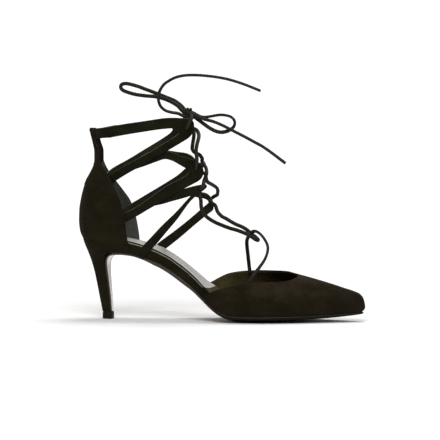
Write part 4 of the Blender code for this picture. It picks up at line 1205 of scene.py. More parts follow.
@dataclass
class StitchRow:
    """Row of thread stitches along paths, made with Geometry Nodes."""

    pitch: float = 2.0
    length: float = 1.45
    width: float = 0.42

    def tree(self) -> bpy.types.NodeTree:
        """Geometry Nodes: a rounded stitch at every pitch of each path.

        Returns:
            The node tree.
        """
        found = bpy.data.node_groups.get("stitch_row")
        if found:
            return found
        tree = bpy.data.node_groups.new("stitch_row", "GeometryNodeTree")
        for name, kind in (("Geometry", "Geometry"), ("Pitch", "Float"), ("Size", "Vector"),
                           ("Finish", "Material")):
            tree.interface.new_socket(name=name, in_out="INPUT", socket_type="NodeSocket" + kind)
        tree.interface.new_socket(name="Geometry", in_out="OUTPUT", socket_type="NodeSocketGeometry")
        new, link = tree.nodes.new, tree.links.new
        given, result = new("NodeGroupInput"), new("NodeGroupOutput")
        curve, even = new("GeometryNodeMeshToCurve"), new("GeometryNodeResampleCurve")
        even.mode = "LENGTH"
        bead, shaped = new("GeometryNodeMeshUVSphere"), new("GeometryNodeTransform")
        bead.inputs["Segments"].default_value = 6
        bead.inputs["Rings"].default_value = 5
        bead.inputs["Radius"].default_value = 0.5
        tangent, turn = new("GeometryNodeInputTangent"), new("FunctionNodeAlignRotationToVector")
        turn.axis = "X"
        spread, real = new("GeometryNodeInstanceOnPoints"), new("GeometryNodeRealizeInstances")
        soft, paint = new("GeometryNodeSetShadeSmooth"), new("GeometryNodeSetMaterial")
        link(given.outputs["Geometry"], curve.inputs[0])
        link(curve.outputs[0], even.inputs["Curve"])
        link(given.outputs["Pitch"], even.inputs["Length"])
        link(bead.outputs["Mesh"], shaped.inputs["Geometry"])
        link(given.outputs["Size"], shaped.inputs["Scale"])
        link(tangent.outputs[0], turn.inputs["Vector"])
        link(even.outputs[0], spread.inputs["Points"])
        link(shaped.outputs[0], spread.inputs["Instance"])
        link(turn.outputs[0], spread.inputs["Rotation"])
        link(spread.outputs[0], real.inputs[0])
        link(real.outputs[0], soft.inputs["Geometry"])
        link(soft.outputs[0], paint.inputs["Geometry"])
        link(given.outputs["Finish"], paint.inputs["Material"])
        link(paint.outputs[0], result.inputs["Geometry"])
        return tree

    def build(self, name: str, paths: list[Array], finish: Material) -> Object:
        """Sew the rows.

        Args:
            name: Piece name.
            paths: Lines to sew along, shoe millimetres.
            finish: Thread material.
        Returns:
            The stitches as one plain mesh.
        """
        verts = place(np.vstack(paths))
        edges, start = [], 0
        for path in paths:
            edges += [(start + i, start + i + 1) for i in range(len(path) - 1)]
            start += len(path)
        mesh = bpy.data.meshes.new(name + "_lines")
        mesh.from_pydata([tuple(v) for v in verts], edges, [])
        lines = linked(name + "_lines", mesh)
        rows = lines.modifiers.new("stitches", "NODES")
        tree = self.tree()
        rows.node_group = tree
        values = {"Pitch": self.pitch * MM, "Finish": finish,
                  "Size": (self.length * MM, self.width * MM, self.width * MM)}
        for item in tree.interface.items_tree:
            if item.in_out == "INPUT" and item.name in values:
                rows[item.identifier] = values[item.name]
        shape = applied(lines)
        bpy.data.objects.remove(lines, do_unlink=True)
        shape.name = name
        return linked(name, shape)


def keep(piece: Object, slot: str, *nodes: str) -> Object:
    """Tie a finished piece to the part.

    Args:
        piece: The piece.
        slot: Material slot of the record; not used.
        nodes: CAD nodes that it stands for.
    Returns:
        The piece.
    """
    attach(piece, "root")
    if nodes:
        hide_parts(*nodes)
    piece.data.calc_loop_triangles()
    LOG.info("%s: %d triangles", piece.name, len(piece.data.loop_triangles))
    return piece


# Sub-assemblies

@dataclass
class Sole:
    """Leather outsole with its flap down the heel breast."""

    palette: Palette
    across: int = 29
    flap_thick: float = 1.0
    edge_bulge: float = 0.3

    def flap_rings(self) -> list[Array]:
        """Rings of the leather on the breast.

        Returns:
            The rings from the tip upward.
        """
        a = np.linspace(-1.0, 1.0, self.across)
        rings = []
        for z in np.linspace(6.9, 54.9, 40):
            turn = np.clip((z - 48.0) / 9.0, 0.0, 1.0) ** 1.2 * math.pi / 2
            inward = np.array((-math.cos(turn), 0.0, math.sin(turn))) * self.flap_thick
            crown = 0.35 * (1.0 - a * a)[:, None] * unit(-inward)
            x, half = FLAP.read("z", "x", z), FLAP.read("z", "half", z)
            face = np.stack((np.full_like(a, x), a * half, np.full_like(a, z)), axis=1) + crown
            rings.append(self.closed(face, face + inward - crown, 0.15))
        return rings

    def closed(self, low: Array, top: Array, bulge: float) -> Array:
        """Ring from a lower line, two rounded edges and an upper line.

        Args:
            low: Lower line, lateral to medial.
            top: Upper line, lateral to medial.
            bulge: How far the edges stand out.
        Returns:
            The ring's points.
        """
        shares = (0.25, 0.5, 0.75)
        side = np.array((0.0, bulge, 0.0))
        right = [low[-1] * (1 - s) + top[-1] * s + side * math.sin(math.pi * s) for s in shares]
        left = [top[0] * (1 - s) + low[0] * s - side * math.sin(math.pi * s) for s in shares]
        return np.vstack((low, right, top[::-1], left))

    def build(self) -> None:
        """Make and dress the outsole."""
        a = np.linspace(-1.0, 1.0, self.across)
        lift = np.clip((np.abs(a) - 0.4) / 0.6, 0.0, 1.0) ** 1.8
        rings = self.flap_rings()
        for x in np.concatenate((np.linspace(31.0, 48.0, 14), np.linspace(50.0, 236.0, 120),
                                 np.linspace(237.0, 245.4, 16))):
            y = np.where(a < 0.0, a * OUTSOLE.read("x", "lat", x), a * OUTSOLE.read("x", "med", x))
            low = OUTSOLE.read("x", "z", x) + lift * OUTSOLE.read("x", "rise", x)
            low = low - WAIST_FULL.read("x", "drop", x) * np.sqrt(1.0 - a ** 4)
            bottom = np.stack((np.full_like(a, x), y, low), axis=1)
            top = np.stack((np.full_like(a, x), y, np.full_like(a, outsole_top(x))), axis=1)
            rings.append(self.closed(bottom, top, self.edge_bulge))
        last = rings[-1]
        middle = last.mean(axis=0)
        for reach, size in ((0.35, 0.8), (0.55, 0.45)):
            shrunk = (last - middle) * np.array((1.0, size, size))
            rings.append(middle + shrunk + np.array((reach, 0.0, 0.0)))
        n = self.across
        margin = 4
        # Slot 2, on the top corners of the edge, carries the painted highlight of the feather line; the
        # bottom's outer margins take the edge finish.
        bands = ([1] * margin + [0] * (n - 1 - 2 * margin) + [1] * margin + [1, 1, 1, 2] + [1] * (n - 1)
                 + [2, 1, 1, 1])
        verts, faces, slots = loft(rings, bands)
        p = self.palette
        piece = make_piece("outsole_leather", verts, faces, [p.sole, p.sole_edge, p.feather], slots, 50.0)
        keep(piece, "sole_leather", "outsole")


@dataclass
class HeelBlock:
    """Covered heel with its top piece."""

    palette: Palette
    per_side: int = 26
    tip_height: float = 6.4
    tip_back: float = 19.3
    tip_front: float = 28.3
    tip_half: float = 4.6
    flare_low: float = 46.0
    flare_top: float = 69.1

    def ring(self, back: float, front: float, half: float, z_back: float, z_front: float) -> Array:
        """D-shaped ring: round at the back, flat breast.

        Args:
            back: Rearmost x.
            front: x of the breast.
            half: Half width.
            z_back: Height at the back.
            z_front: Height at the breast.
        Returns:
            The ring's points.
        """
        s = np.linspace(1.0, 0.0, self.per_side) ** 2
        side = half * rounded(s)
        x = back + (front - back) * s
        z = z_back + (z_front - z_back) * s
        near = np.stack((x, -side, z), axis=1)
        far = np.stack((x, side, z), axis=1)[::-1][1:]
        breast = np.array([(front, half * f, z_front) for f in np.linspace(0.85, -0.85, 9)])
        return np.vstack((near, far, breast))

    def cover_ring(self, z: float) -> Array:
        """Ring of the cover at a height of its back; above flare_low it eases into the cup's lower edge.

        Args:
            z: Height at the back.
        Returns:
            The ring's points.
        """
        columns = ("back", "front", "half", "zf")
        back, front, half, z_front = (float(HEEL.read("zb", name, z)) for name in columns)
        ring = self.ring(back, front, half, z, z_front)
        if z <= self.flare_low:
            return ring
        x, y = ring[:, 0], ring[:, 1]
        s = (x - back) / (front - back)
        plain_top = self.flare_top + (HEEL["zf"][-1] - self.flare_top) * s
        line = seat(x) + SEAT_RISE
        stretch = (line - self.flare_low) / (plain_top - self.flare_low)
        ring[:, 2] = self.flare_low + (ring[:, 2] - self.flare_low) * stretch
        ease = ((z - self.flare_low) / (self.flare_top - self.flare_low)) ** 3
        edge = half * rounded(np.clip(s, 0.0, 1.0))
        cup = cup_half(x, line) - UNDER_CUP
        ring[:, 1] = y * (1.0 + ease * (cup / np.maximum(edge, 0.05) - 1.0))
        return ring

    def build(self) -> None:
        """Make and dress the heel and its tip."""
        heights = np.concatenate((np.linspace(self.tip_height + GAP, self.flare_low - 1.0, 36),
                                  np.linspace(self.flare_low, self.flare_top, 36)))
        rings = [self.cover_ring(z) for z in heights]
        keep(lofted("heel_cover", rings, self.palette.suede, 50.0), "suede", "heel")
        tip = [self.ring(self.tip_back + c, self.tip_front - c, self.tip_half - c, z, z)
               for z, c in ((0.0, 0.35), (0.12, 0.1), (0.4, 0.0), (2.0, 0.0), (5.2, 0.05), (5.6, 0.2),
                            (5.7, 0.28), (6.0, 0.12), (self.tip_height, 0.1))]
        keep(lofted("heel_top_piece", tip, self.palette.tip, 40.0), "tip", "heel_tip")


@dataclass
class Counter:
    """Heel cup with a back tab folded over the ankle band."""

    palette: Palette
    thick: float = 1.7
    tab_top: float = 164.0
    across: int = 61
    up: int = 80
    flat_from: float = 120.0        # height at which the round back begins to turn into the flat tab
    flat_over: float = 18.0
    thin_from: float = 132.0        # height at which the wall begins to thin to one leaf of the tab
    thin_over: float = 12.0
    leaf: float = 1.1
    strip_low: float = 115.5
    strip_half: float = 9.0
    strip_high: float = 0.4

    def plan(self, z: Array, f: Array) -> tuple[Array, Array]:
        """Outer x and y of the cup at a height.

        Args:
            z: Height.
            f: -1 lateral through 0 at the back to 1 medial.
        Returns:
            x and y.
        """
        back = COUNTER.read("z", "back", z)
        front = np.where(f < 0.0, COUNTER.read("z", "lat", z), COUNTER.read("z", "med", z))
        flat = np.clip((z - self.flat_from) / self.flat_over, 0.0, 1.0)
        s = f * f
        bulge = rounded(s) * (1.0 - flat) + np.abs(f) * flat
        return back + (front - back) * s, np.sign(f) * COUNTER.read("z", "half", z) * bulge

    def surface(self, level: Array, f: Array) -> Array:
        """Outer points of the cup.

        Args:
            level: 0 at the seat to 1 at the top of the tab.
            f: -1 lateral to 1 medial.
        Returns:
            The points.
        """
        x0, _ = self.plan(np.full_like(f, 66.0), f)
        low = seat(x0) + SEAM
        z = low + (self.tab_top - low) * level
        x, y = self.plan(z, f)
        return np.stack((x, y, z), axis=-1)

    def grid(self) -> Array:
        """Outer points of the cup, then of the tab's fold.

        Returns:
            The points, row by row.
        """
        f = np.linspace(-1.0, 1.0, self.across)
        f = np.sign(f) * np.abs(f) ** 0.92
        rows = [self.surface(np.full_like(f, level), f) for level in np.linspace(0.0, 1.0, self.up) ** 0.95]
        x, y = self.plan(np.full_like(f, self.tab_top), f)
        for step in np.linspace(0.25, 10.0, 40):
            inward, z = float(TAB_FOLD.read("step", "inward", step)), float(TAB_FOLD.read("step", "z", step))
            lean = COUNTER.read("z", "back", min(z, self.tab_top)) - COUNTER.read("z", "back", self.tab_top)
            rows.append(np.stack((x + inward + lean, y, np.full_like(f, z)), axis=1))
        return np.array(rows)

    def wall(self, grid: Array) -> Array:
        """Thickness of the wall: thinner where the tab lies double.

        Args:
            grid: Outer points.
        Returns:
            A thickness for each point.
        """
        thin = np.clip((grid[..., 2] - self.thin_from) / self.thin_over, 0.0, 1.0)
        thin[self.up:] = 1.0
        return (self.thick * (1.0 - thin) + self.leaf * thin).ravel()

    def relief(self, grid: Array) -> Array:
        """Extra thickness of the tab's strip sewn on down the back.

        Args:
            grid: Outer points.
        Returns:
            An extra for each point.
        """
        y, z = np.abs(grid[..., 1]), grid[..., 2]
        strip = np.clip((self.strip_half - y) / 0.7, 0.0, 1.0) * np.clip((z - self.strip_low) / 0.7, 0.0, 1.0)
        strip[self.up:] = 0.0
        return (self.strip_high * strip).ravel()

    def stitch_paths(self) -> list[Array]:
        """Rows of stitches behind the front edges.

        Returns:
            Two lines to sew along.
        """
        paths = []
        for side in (-1.0, 1.0):
            level = np.linspace(0.12, 0.74, 90)
            f = np.full_like(level, side * 0.955)
            paths.append(self.surface(level, f) + np.array((0.0, side * 0.06, 0.0)))
        return paths

    def build(self) -> None:
        """Make and dress the counter."""
        p = self.palette
        grid = self.grid()
        wall = Wall(grid.reshape(-1, 3), grid_faces(*grid.shape[:2]), self.wall(grid), (24.0, 0.0, 100.0),
                    puff=self.relief(grid))
        keep(wall.build("counter_suede", [p.suede, p.lining, p.suede]), "suede", "counter")
        keep(StitchRow().build("counter_stitches", self.stitch_paths(), p.thread), "suede")


@dataclass
class Vamp:
    """Pointed toe piece, hollow, open at the throat."""

    palette: Palette
    thick: float = 1.6
    rows: int = 34
    tip_rise_x: float = 246.0       # from here the lower edge rises to the tip
    tip_rise: float = 0.9
    blunt_x: float = 240.0          # from here the point is blunted
    blunt: float = 0.7
    blunt_ends: float = 0.8         # more of it at the sole and on the ridge

    def point(self, x: Array, rise: Array, side: float, inset: float = 0.0) -> Array:
        """Points of the vamp.

        Args:
            x: Place along the shoe.
            rise: 0 at the sole to 1 on the ridge.
            side: -1 lateral, 1 medial.
            inset: Depth inside the wall.
        Returns:
            The points.
        """
        lat, med = VAMP.read("x", "lat", x), VAMP.read("x", "med", x)
        middle, half = (med - lat) / 2.0, np.maximum((med + lat) / 2.0 - inset, 0.15)
        floor = outsole_top(x) + GAP + np.maximum(x - self.tip_rise_x, 0.0) * self.tip_rise
        crown = np.maximum(VAMP.read("x", "ridge", x) - inset, floor + 0.5)
        angle = -FEATHER_ANGLE + rise * (math.pi / 2 + FEATHER_ANGLE)
        wide = np.maximum(np.cos(angle), 0.0) ** SIDE_ROUND
        high = (np.sin(angle) + math.sin(FEATHER_ANGLE)) / (1.0 + math.sin(FEATHER_ANGLE))
        at = np.where(x < TOE_START_X, x, TOE_START_X + (x - TOE_START_X) * toe_share(inset))
        shorten = np.clip((x - self.blunt_x) / (TOE_X - self.blunt_x), 0.0, 1.0) ** 2
        at = at - shorten * (self.blunt + self.blunt_ends * np.abs((high - 0.45) / 0.55) ** 2.4)
        return np.stack((at, middle + side * half * wide, floor + (crown - floor) * high), axis=-1)

    def edge(self, x: Array, line: Table) -> Array:
        """Rise of the topline, 1 in front of the throat.

        Args:
            x: Place along the shoe.
            line: The topline's heights.
        Returns:
            The rise.
        """
        floor = outsole_top(x) + GAP
        high = (line.read("x", "z", x) - floor) / (VAMP.read("x", "ridge", x) - floor)
        sine = np.minimum(high * (1.0 + math.sin(FEATHER_ANGLE)) - math.sin(FEATHER_ANGLE), 1.0)
        return np.where(x >= THROAT_X, 1.0, (np.arcsin(sine) + FEATHER_ANGLE) / (math.pi / 2 + FEATHER_ANGLE))

    def stations(self, rear: float) -> Array:
        """Places along one side, closer together near the toe."""
        toe = THROAT_X + (TOE_X - THROAT_X) * (1.0 - (1.0 - np.linspace(0.0, 1.0, 64)) ** 2.0)
        return np.concatenate((np.linspace(rear, THROAT_X, 76)[:-1], toe))

    def half_grid(self, side: Side) -> tuple[Array, Array]:
        """Points of one side of the vamp, station by station from the rear.

        Args:
            side: Which side.
        Returns:
            Outer and inner points.
        """
        rear, line = (VAMP_LAT_X, TOPLINE_LAT) if side is Side.LATERAL else (VAMP_MED_X, TOPLINE_MED)
        x = self.stations(rear)
        rise = self.edge(x, line)[:, None] * np.linspace(0.0, 1.0, self.rows + 1)[None, :]
        wide = np.repeat(x[:, None], self.rows + 1, axis=1)
        return (self.point(wide, rise, side.value), self.point(wide, rise, side.value, self.thick))

    def stitch_paths(self, down: float, lift: float) -> list[Array]:
        """Lines a little under the topline.

        Args:
            down: How far under it.
            lift: Positive outside the wall, negative inside.
        Returns:
            Two lines to sew along.
        """
        paths = []
        for side, rear, line in ((-1.0, VAMP_LAT_X + 1.5, TOPLINE_LAT), (1.0, VAMP_MED_X + 1.5, TOPLINE_MED)):
            x = np.linspace(rear, THROAT_X - 8.0, 90)
            rise = self.edge(x, line) - down / 52.0
            paths.append(self.point(x, rise, side, -lift if lift > 0 else self.thick - lift))
        return paths

    def build(self) -> None:
        """Make and dress the vamp."""
        p = self.palette
        near, near_in = self.half_grid(Side.LATERAL)
        far, far_in = self.half_grid(Side.MEDIAL)
        count = self.rows + 1
        faces = grid_faces(len(near), count)
        shift = near.shape[0] * count
        faces += [tuple(i + shift for i in face[::-1]) for face in grid_faces(len(far), count)]
        end_near, end_far = (len(near) - 1) * count, shift + (len(far) - 1) * count
        faces += [(end_near + k, end_near + k + 1, end_far + k + 1, end_far + k) for k in range(self.rows)]
        outer = np.vstack((near.reshape(-1, 3), far.reshape(-1, 3)))
        inner = np.vstack((near_in.reshape(-1, 3), far_in.reshape(-1, 3)))
        wall = Wall(outer, faces, self.thick, (190.0, 0.0, 14.0), inner=inner)
        materials = [p.vamp_suede, p.vamp_lining, p.vamp_suede, p.binding]
        keep(wall.build("vamp_suede", materials), "suede", "vamp")
        keep(StitchRow().build("vamp_stitches", self.stitch_paths(1.7, 0.05), p.thread), "suede")
        fine = StitchRow(1.45, 0.85, 0.5)
        keep(fine.build("lining_stitches", self.stitch_paths(1.6, -0.05), p.lining_thread), "suede")


@dataclass
class Insole:
    """Wrapped board with its olive edge line and the pale sock."""

    palette: Palette
    counter: Counter
    vamp: Vamp
    cup_end: float = 48.2           # the board lies inside the heel cup up to here
    sock_thick: float = 1.2
    groove: float = 2.3
    sock_front: float = 114.6       # from here to the toe the sock's top takes the dark vamp-lining finish
    lip: float = 1.3

    def inside_counter(self, x: float, z: float) -> float:
        """Half width inside the heel cup.

        Args:
            x: Place along the shoe.
            z: Height.
        Returns:
            The half width.
        """
        back, front = float(COUNTER.read("z", "back", z)), float(COUNTER.read("z", "med", z))
        s = np.clip((np.array((x, x + 0.5)) - back) / (front - back), 0.0, 1.0)
        y = COUNTER.read("z", "half", z) * rounded(s)
        return max(float(y[0]) - self.counter.thick * math.hypot(1.0, (y[1] - y[0]) / 0.5), 2.0)

    def half(self, x: float, side: Side) -> float:
        """Half width of the board on one side.

        Args:
            x: Place along the shoe.
            side: Which side.
        Returns:
            The half width.
        """
        if x < self.cup_end:
            return self.inside_counter(min(x, 46.0), 57.5 if x > BREAST_X + 1.0 else 66.0) - 2 * GAP
        lateral = side is Side.LATERAL
        if x < (VAMP_LAT_X if lateral else VAMP_MED_X) - 0.4:
            return float(WAIST.read("x", "lat" if lateral else "med", x))
        thick = self.vamp.thick
        at = x if x < TOE_START_X else TOE_START_X + (x - TOE_START_X) / toe_share(thick)
        lat, med = float(VAMP.read("x", "lat", at)), float(VAMP.read("x", "med", at))
        half = max((lat + med) / 2.0 - thick, 0.15)
        return half * math.cos(FEATHER_ANGLE) ** SIDE_ROUND - GAP + side.value * (med - lat) / 2.0

    def levels(self, x: float) -> tuple[float, float]:
        """Bottom and top of the board."""
        low = float(seat(x) if x <= BREAST_X + 0.6 else outsole_top(x)) + GAP
        return low, max(float(INSOLE.read("x", "z", x)) - self.sock_thick - GAP, low + 1.4)

    def board_ring(self, x: float) -> Array:
        """Section of the board with rounded corners.

        Args:
            x: Place along the shoe.
        Returns:
            The section's points.
        """
        low, top = self.levels(x)
        lat, med = self.half(x, Side.LATERAL), self.half(x, Side.MEDIAL)
        soft = min(0.3 * (top - low), 2.2)
        lip = float(WAIST_LIP.read("x", "lift", x))
        ring = []
        for y, z, start in ((-lat + soft, low + soft, 1.5), (-lat + soft, top + lip - soft, 1.0),
                            (med - soft, top - soft, 0.5), (med - soft, low + soft, 0.0)):
            for share in np.linspace(0.0, 0.5, 6):
                turn = math.pi * (start - share)
                ring.append((x, y + soft * math.cos(turn), z + soft * math.sin(turn)))
            if start == 1.0:
                shares = (0.8, 0.6, 0.4, 0.2, 0.0)
                ring += [(x, -lat * share, top + lip * share ** 1.6) for share in shares]
        return np.array(ring)

    def stations(self) -> Array:
        """Places along the board, with close pairs where its width steps.

        Returns:
            The places.
        """
        steps = (VAMP_MED_X - 0.6, VAMP_MED_X + 0.2, VAMP_LAT_X - 0.7, VAMP_LAT_X + 0.1)
        return np.concatenate((
            np.array((5.8, 6.4, 7.0, 8.5)), np.linspace(10.0, BREAST_X + 0.6, 12),
            np.linspace(BREAST_X + 1.7, 48.0, 12), np.linspace(48.7, 105.0, 40), steps[:2],
            np.linspace(107.5, 111.5, 3), steps[2:], np.linspace(114.5, 238.0, 60), (241.5,)))

    def sock_half(self, x: float, side: Side) -> float:
        """Half width of the sock: it leaves the edge line free along the waist."""
        waist = np.clip((x - 44.0) / 6.0, 0.0, 1.0) * np.clip((116.0 - x) / 8.0, 0.0, 1.0)
        return self.half(x, side) - 0.9 - waist * (self.groove + self.lip - 0.75)

    def sock_ring(self, x: float) -> Array:
        """Section of the sock: soft edges and a slightly full top.

        Args:
            x: Place along the shoe.
        Returns:
            The section's points.
        """
        top = float(INSOLE.read("x", "z", x))
        lat, med = self.sock_half(x, Side.LATERAL), self.sock_half(x, Side.MEDIAL)
        share = np.linspace(-1.0, 1.0, 25)
        y = np.where(share < 0.0, share * lat, share * med)
        lip = float(WAIST_LIP.read("x", "lift", x))
        z = top - 0.12 * np.clip((np.abs(share) - 0.9) / 0.1, 0.0, 1.0) ** 2
        z = z + lip * np.clip(-share, 0.0, 1.0) ** 1.6
        upper = np.stack((np.full_like(y, x), y, z), axis=1)
        under = upper[::-6] - np.array((0.0, 0.0, self.sock_thick))
        return np.vstack((upper, under))

    def band_ring(self, x: float) -> Array:
        """Section of the suede band between the breast and the waist, flush with the cup above it.

        Args:
            x: Place along the shoe.
        Returns:
            The section's points.
        """
        low, top = float(outsole_top(x)) + SEAM, float(seat(x)) + SEAT_RISE
        half = float(cup_half(x, top)) - UNDER_CUP
        turn = np.linspace(0.0, math.pi / 2, 7)
        soft = 0.42 * (top - low)
        y = np.concatenate(((half,), half - soft * (1.0 - np.cos(turn))))
        z = np.concatenate(((top,), low + soft * (1.0 - np.sin(turn))))
        return np.stack((np.full(16, x), np.concatenate((y, -y[::-1])), np.concatenate((z, z[::-1]))), axis=1)

    def lip_rings(self, side: Side) -> list[Array]:
        """Sections of the olive edge that runs along the waist.

        Args:
            side: Which side.
        Returns:
            The sections, rear to front.
        """
        rings = []
        last = VAMP_LAT_X if side is Side.LATERAL else VAMP_MED_X
        for x in np.linspace(47.0, last - 0.2, 60):
            _, top = self.levels(x)
            out = float(WAIST.read("x", "lat" if side is Side.LATERAL else "med", x)) - 0.1
            turn = np.linspace(0.0, 2 * math.pi, 12, endpoint=False)
            y = side.value * (out - self.lip / 2 + self.lip / 2 * np.cos(turn))
            raised = float(WAIST_LIP.read("x", "lift", x)) if side is Side.LATERAL else 0.0
            z = top + raised - 0.15 + 0.5 * np.sin(turn)
            rings.append(np.stack((np.full_like(y, x), y, z), axis=1))
        return rings

    def build(self) -> None:
        """Make and dress the board, its edge line and the sock."""
        p = self.palette
        rings = [self.board_ring(x) for x in self.stations()]
        keep(lofted("insole_wrap", rings, p.suede, 60.0), "suede", "insole_board")
        rings = [self.band_ring(x) for x in np.linspace(BREAST_X - 0.6, 48.4, 24)]
        keep(lofted("waist_band", rings, p.suede, 60.0), "suede")
        places = np.concatenate(((7.4, 8.2), np.linspace(9.0, 47.6, 26), np.linspace(49.1, 105.0, 60),
                                 np.linspace(106.5, 111.8, 5), np.linspace(114.6, 238.0, 64), (241.0,)))
        rings = [self.sock_ring(x) for x in places]
        verts, faces, slots = loft(rings, [0] * 24 + [1] * 6)
        ahead = [verts[list(face), 0].mean() > self.sock_front for face in faces]
        slots = [2 if front and slot == 0 else slot for front, slot in zip(ahead, slots)]
        keep(make_piece("insole_cover", verts, faces, [p.sock, p.sock_side, p.vamp_lining], slots, 40.0),
             "sock_leather", "insole_sock")
        for side in Side:
            name = "insole_edge_" + side.name.lower()
            keep(lofted(name, self.lip_rings(side), p.board_edge), "sock_leather")


@dataclass
class StrapCage:
    """Ankle band and folded straps, each one band of suede with punched lace holes."""

    palette: Palette
    thick: float = 1.6
    across: int = 9
    per_row: int = 14
    crown: float = 0.22
    hole: float = 1.5
    hole_reach: float = 4.0
    painted_highlight_up: float = 0.38           # the cut edge is pale only where it faces up more than this: a painted highlight of the light from above

    def rows(self, table: Table, side: Side) -> Array:
        """Middle surface of a strap, station by station, from its edges.

        Args:
            table: The strap's edges.
            side: Which side.
        Returns:
            The points, stations by places across.
        """
        at = np.arange(len(table["ox"]), dtype=float)
        steps = np.linspace(0.0, at[-1], (len(at) - 1) * self.per_row + 1)
        window = np.hanning(self.per_row + 1)
        pad = len(window) // 2
        value = {}
        for name in table.columns:
            line = smooth(at, table[name], steps)
            before, after = 2 * line[0] - line[pad:0:-1], 2 * line[-1] - line[-2:-pad - 2:-1]
            line = np.concatenate((before, line, after))
            value[name] = np.convolve(line, window / window.sum(), "valid")[:, None]
        mix = np.linspace(0.0, 1.0, self.across)[None, :]
        x = value["ox"] * (1 - mix) + value["ix"] * mix
        z = value["oz"] * (1 - mix) + value["iz"] * mix
        sink = value["osink"] * (1 - mix) + value["isink"] * mix
        return np.stack((x, side.value * (ankle(x, z) - sink), z), axis=-1)

    def back_arc(self) -> Array:
        """Ankle band round the back of the heel, inside the tab.

        Returns:
            The points.
        """
        turn = np.linspace(-0.92, 0.92, 47)[:, None]
        mix = np.linspace(0.0, 1.0, self.across)[None, :]
        higher = np.maximum(turn, 0.0) ** 2
        z = ((163.4 + 2.2 * np.abs(turn) + 2.7 * higher) * (1 - mix)
             + (155.0 + 1.6 * np.abs(turn) + 4.6 * higher) * mix)
        back = ANKLE.read("z", "back", z)
        x = back + (29.0 + 1.8 * mix - back) * turn ** 2
        return np.stack((x, np.sign(turn) * ankle(x, z), z), axis=-1)

    def band(self) -> Array:
        """Upper strap, lateral fold, ankle band, medial fold and upper strap in one run.

        Returns:
            The points.
        """
        turned, rest = slice(None, None, -1), slice(1, None)
        lateral = self.rows(UPPER_LAT.part(turned).joined(COLLAR_LAT.part(rest)), Side.LATERAL)
        medial = self.rows(COLLAR_MED.part(turned).joined(UPPER_MED.part(rest)), Side.MEDIAL)
        return np.concatenate((lateral, self.back_arc(), medial))

    def strap(self, name: str, grid: Array, holes: list[tuple[float, float, Side]], *nodes: str) -> None:
        """Make and dress one strap.

        Args:
            name: Piece name.
            grid: Middle surface.
            holes: Lace holes as x, z and side.
            nodes: CAD nodes that it stands for.
        """
        p = self.palette
        mix = np.linspace(-1.0, 1.0, self.across)
        puff = np.repeat((self.crown * (1.0 - mix * mix))[None, :], len(grid), axis=0).ravel()
        centre = (COLLAR_MID_X, 0.0, float(grid[..., 2].mean()))
        faces = grid_faces(*grid.shape[:2])
        wall = Wall(grid.reshape(-1, 3), faces, self.thick, centre, under=0.5, puff=puff)
        piece = wall.build(name, [p.strap_suede, p.strap_back, p.cut_edge])
        # Painted highlight: cut-edge faces that do not face up take the dark strap suede, so the pale edge
        # shows only where top light would catch it.
        for face in piece.data.polygons:
            if face.material_index == 2 and face.normal.z < self.painted_highlight_up:
                face.material_index = 0
        for x, z, side in holes:
            self.punch(piece, x, z, side)
        keep(piece, "suede", *nodes)

    def punch(self, piece: Object, x: float, z: float, side: Side) -> None:
        """Cut a lace hole through a strap.

        Args:
            piece: The strap.
            x: Place along the shoe.
            z: Height.
            side: Which side.
        """
        centre = np.array((x, side.value * float(ankle(x, z)), z))
        way = ankle_normal(x, z, side.value)
        turn = np.linspace(0.0, 2 * math.pi, 24, endpoint=False)
        first = unit(np.cross(way, np.array((0.0, 0.0, 1.0))))
        second = np.cross(way, first)
        circle = (np.outer(np.cos(turn), first) + np.outer(np.sin(turn), second)) * self.hole
        rings = [centre + way * depth + circle for depth in (-self.hole_reach, self.hole_reach)]
        cutter = lofted("lace_hole", rings, self.palette.cut_edge)
        cut = piece.modifiers.new("hole", "BOOLEAN")
        cut.operation = "DIFFERENCE"
        cut.solver = "EXACT"
        cut.use_self = True
        cut.material_mode = "TRANSFER"
        cut.object = cutter
        piece.data = applied(piece)
        bpy.data.objects.remove(cutter, do_unlink=True)

    def build(self) -> None:
        """Make and dress every strap."""
        lateral, medial = Side.LATERAL, Side.MEDIAL
        self.strap("ankle_band", self.band(), [(96.3, 164.2, lateral), (88.4, 164.6, medial)],
                   "collar_strap", "upper_strap_lateral", "upper_strap_medial")
        for name, table, side, x, z, node in (
                ("middle_strap_near", MIDDLE_LAT, lateral, 104.6, 128.8, "middle_strap_lateral"),
                ("middle_strap_far", MIDDLE_MED, medial, 98.6, 129.6, "middle_strap_medial"),
                ("lower_strap_near", LOWER_LAT, lateral, 108.6, 112.6, "lower_strap_lateral"),
                ("lower_strap_far", LOWER_MED, medial, 109.9, 102.9, "lower_strap_medial")):
            self.strap(name, self.rows(table, side), [(x, z, side)], node)


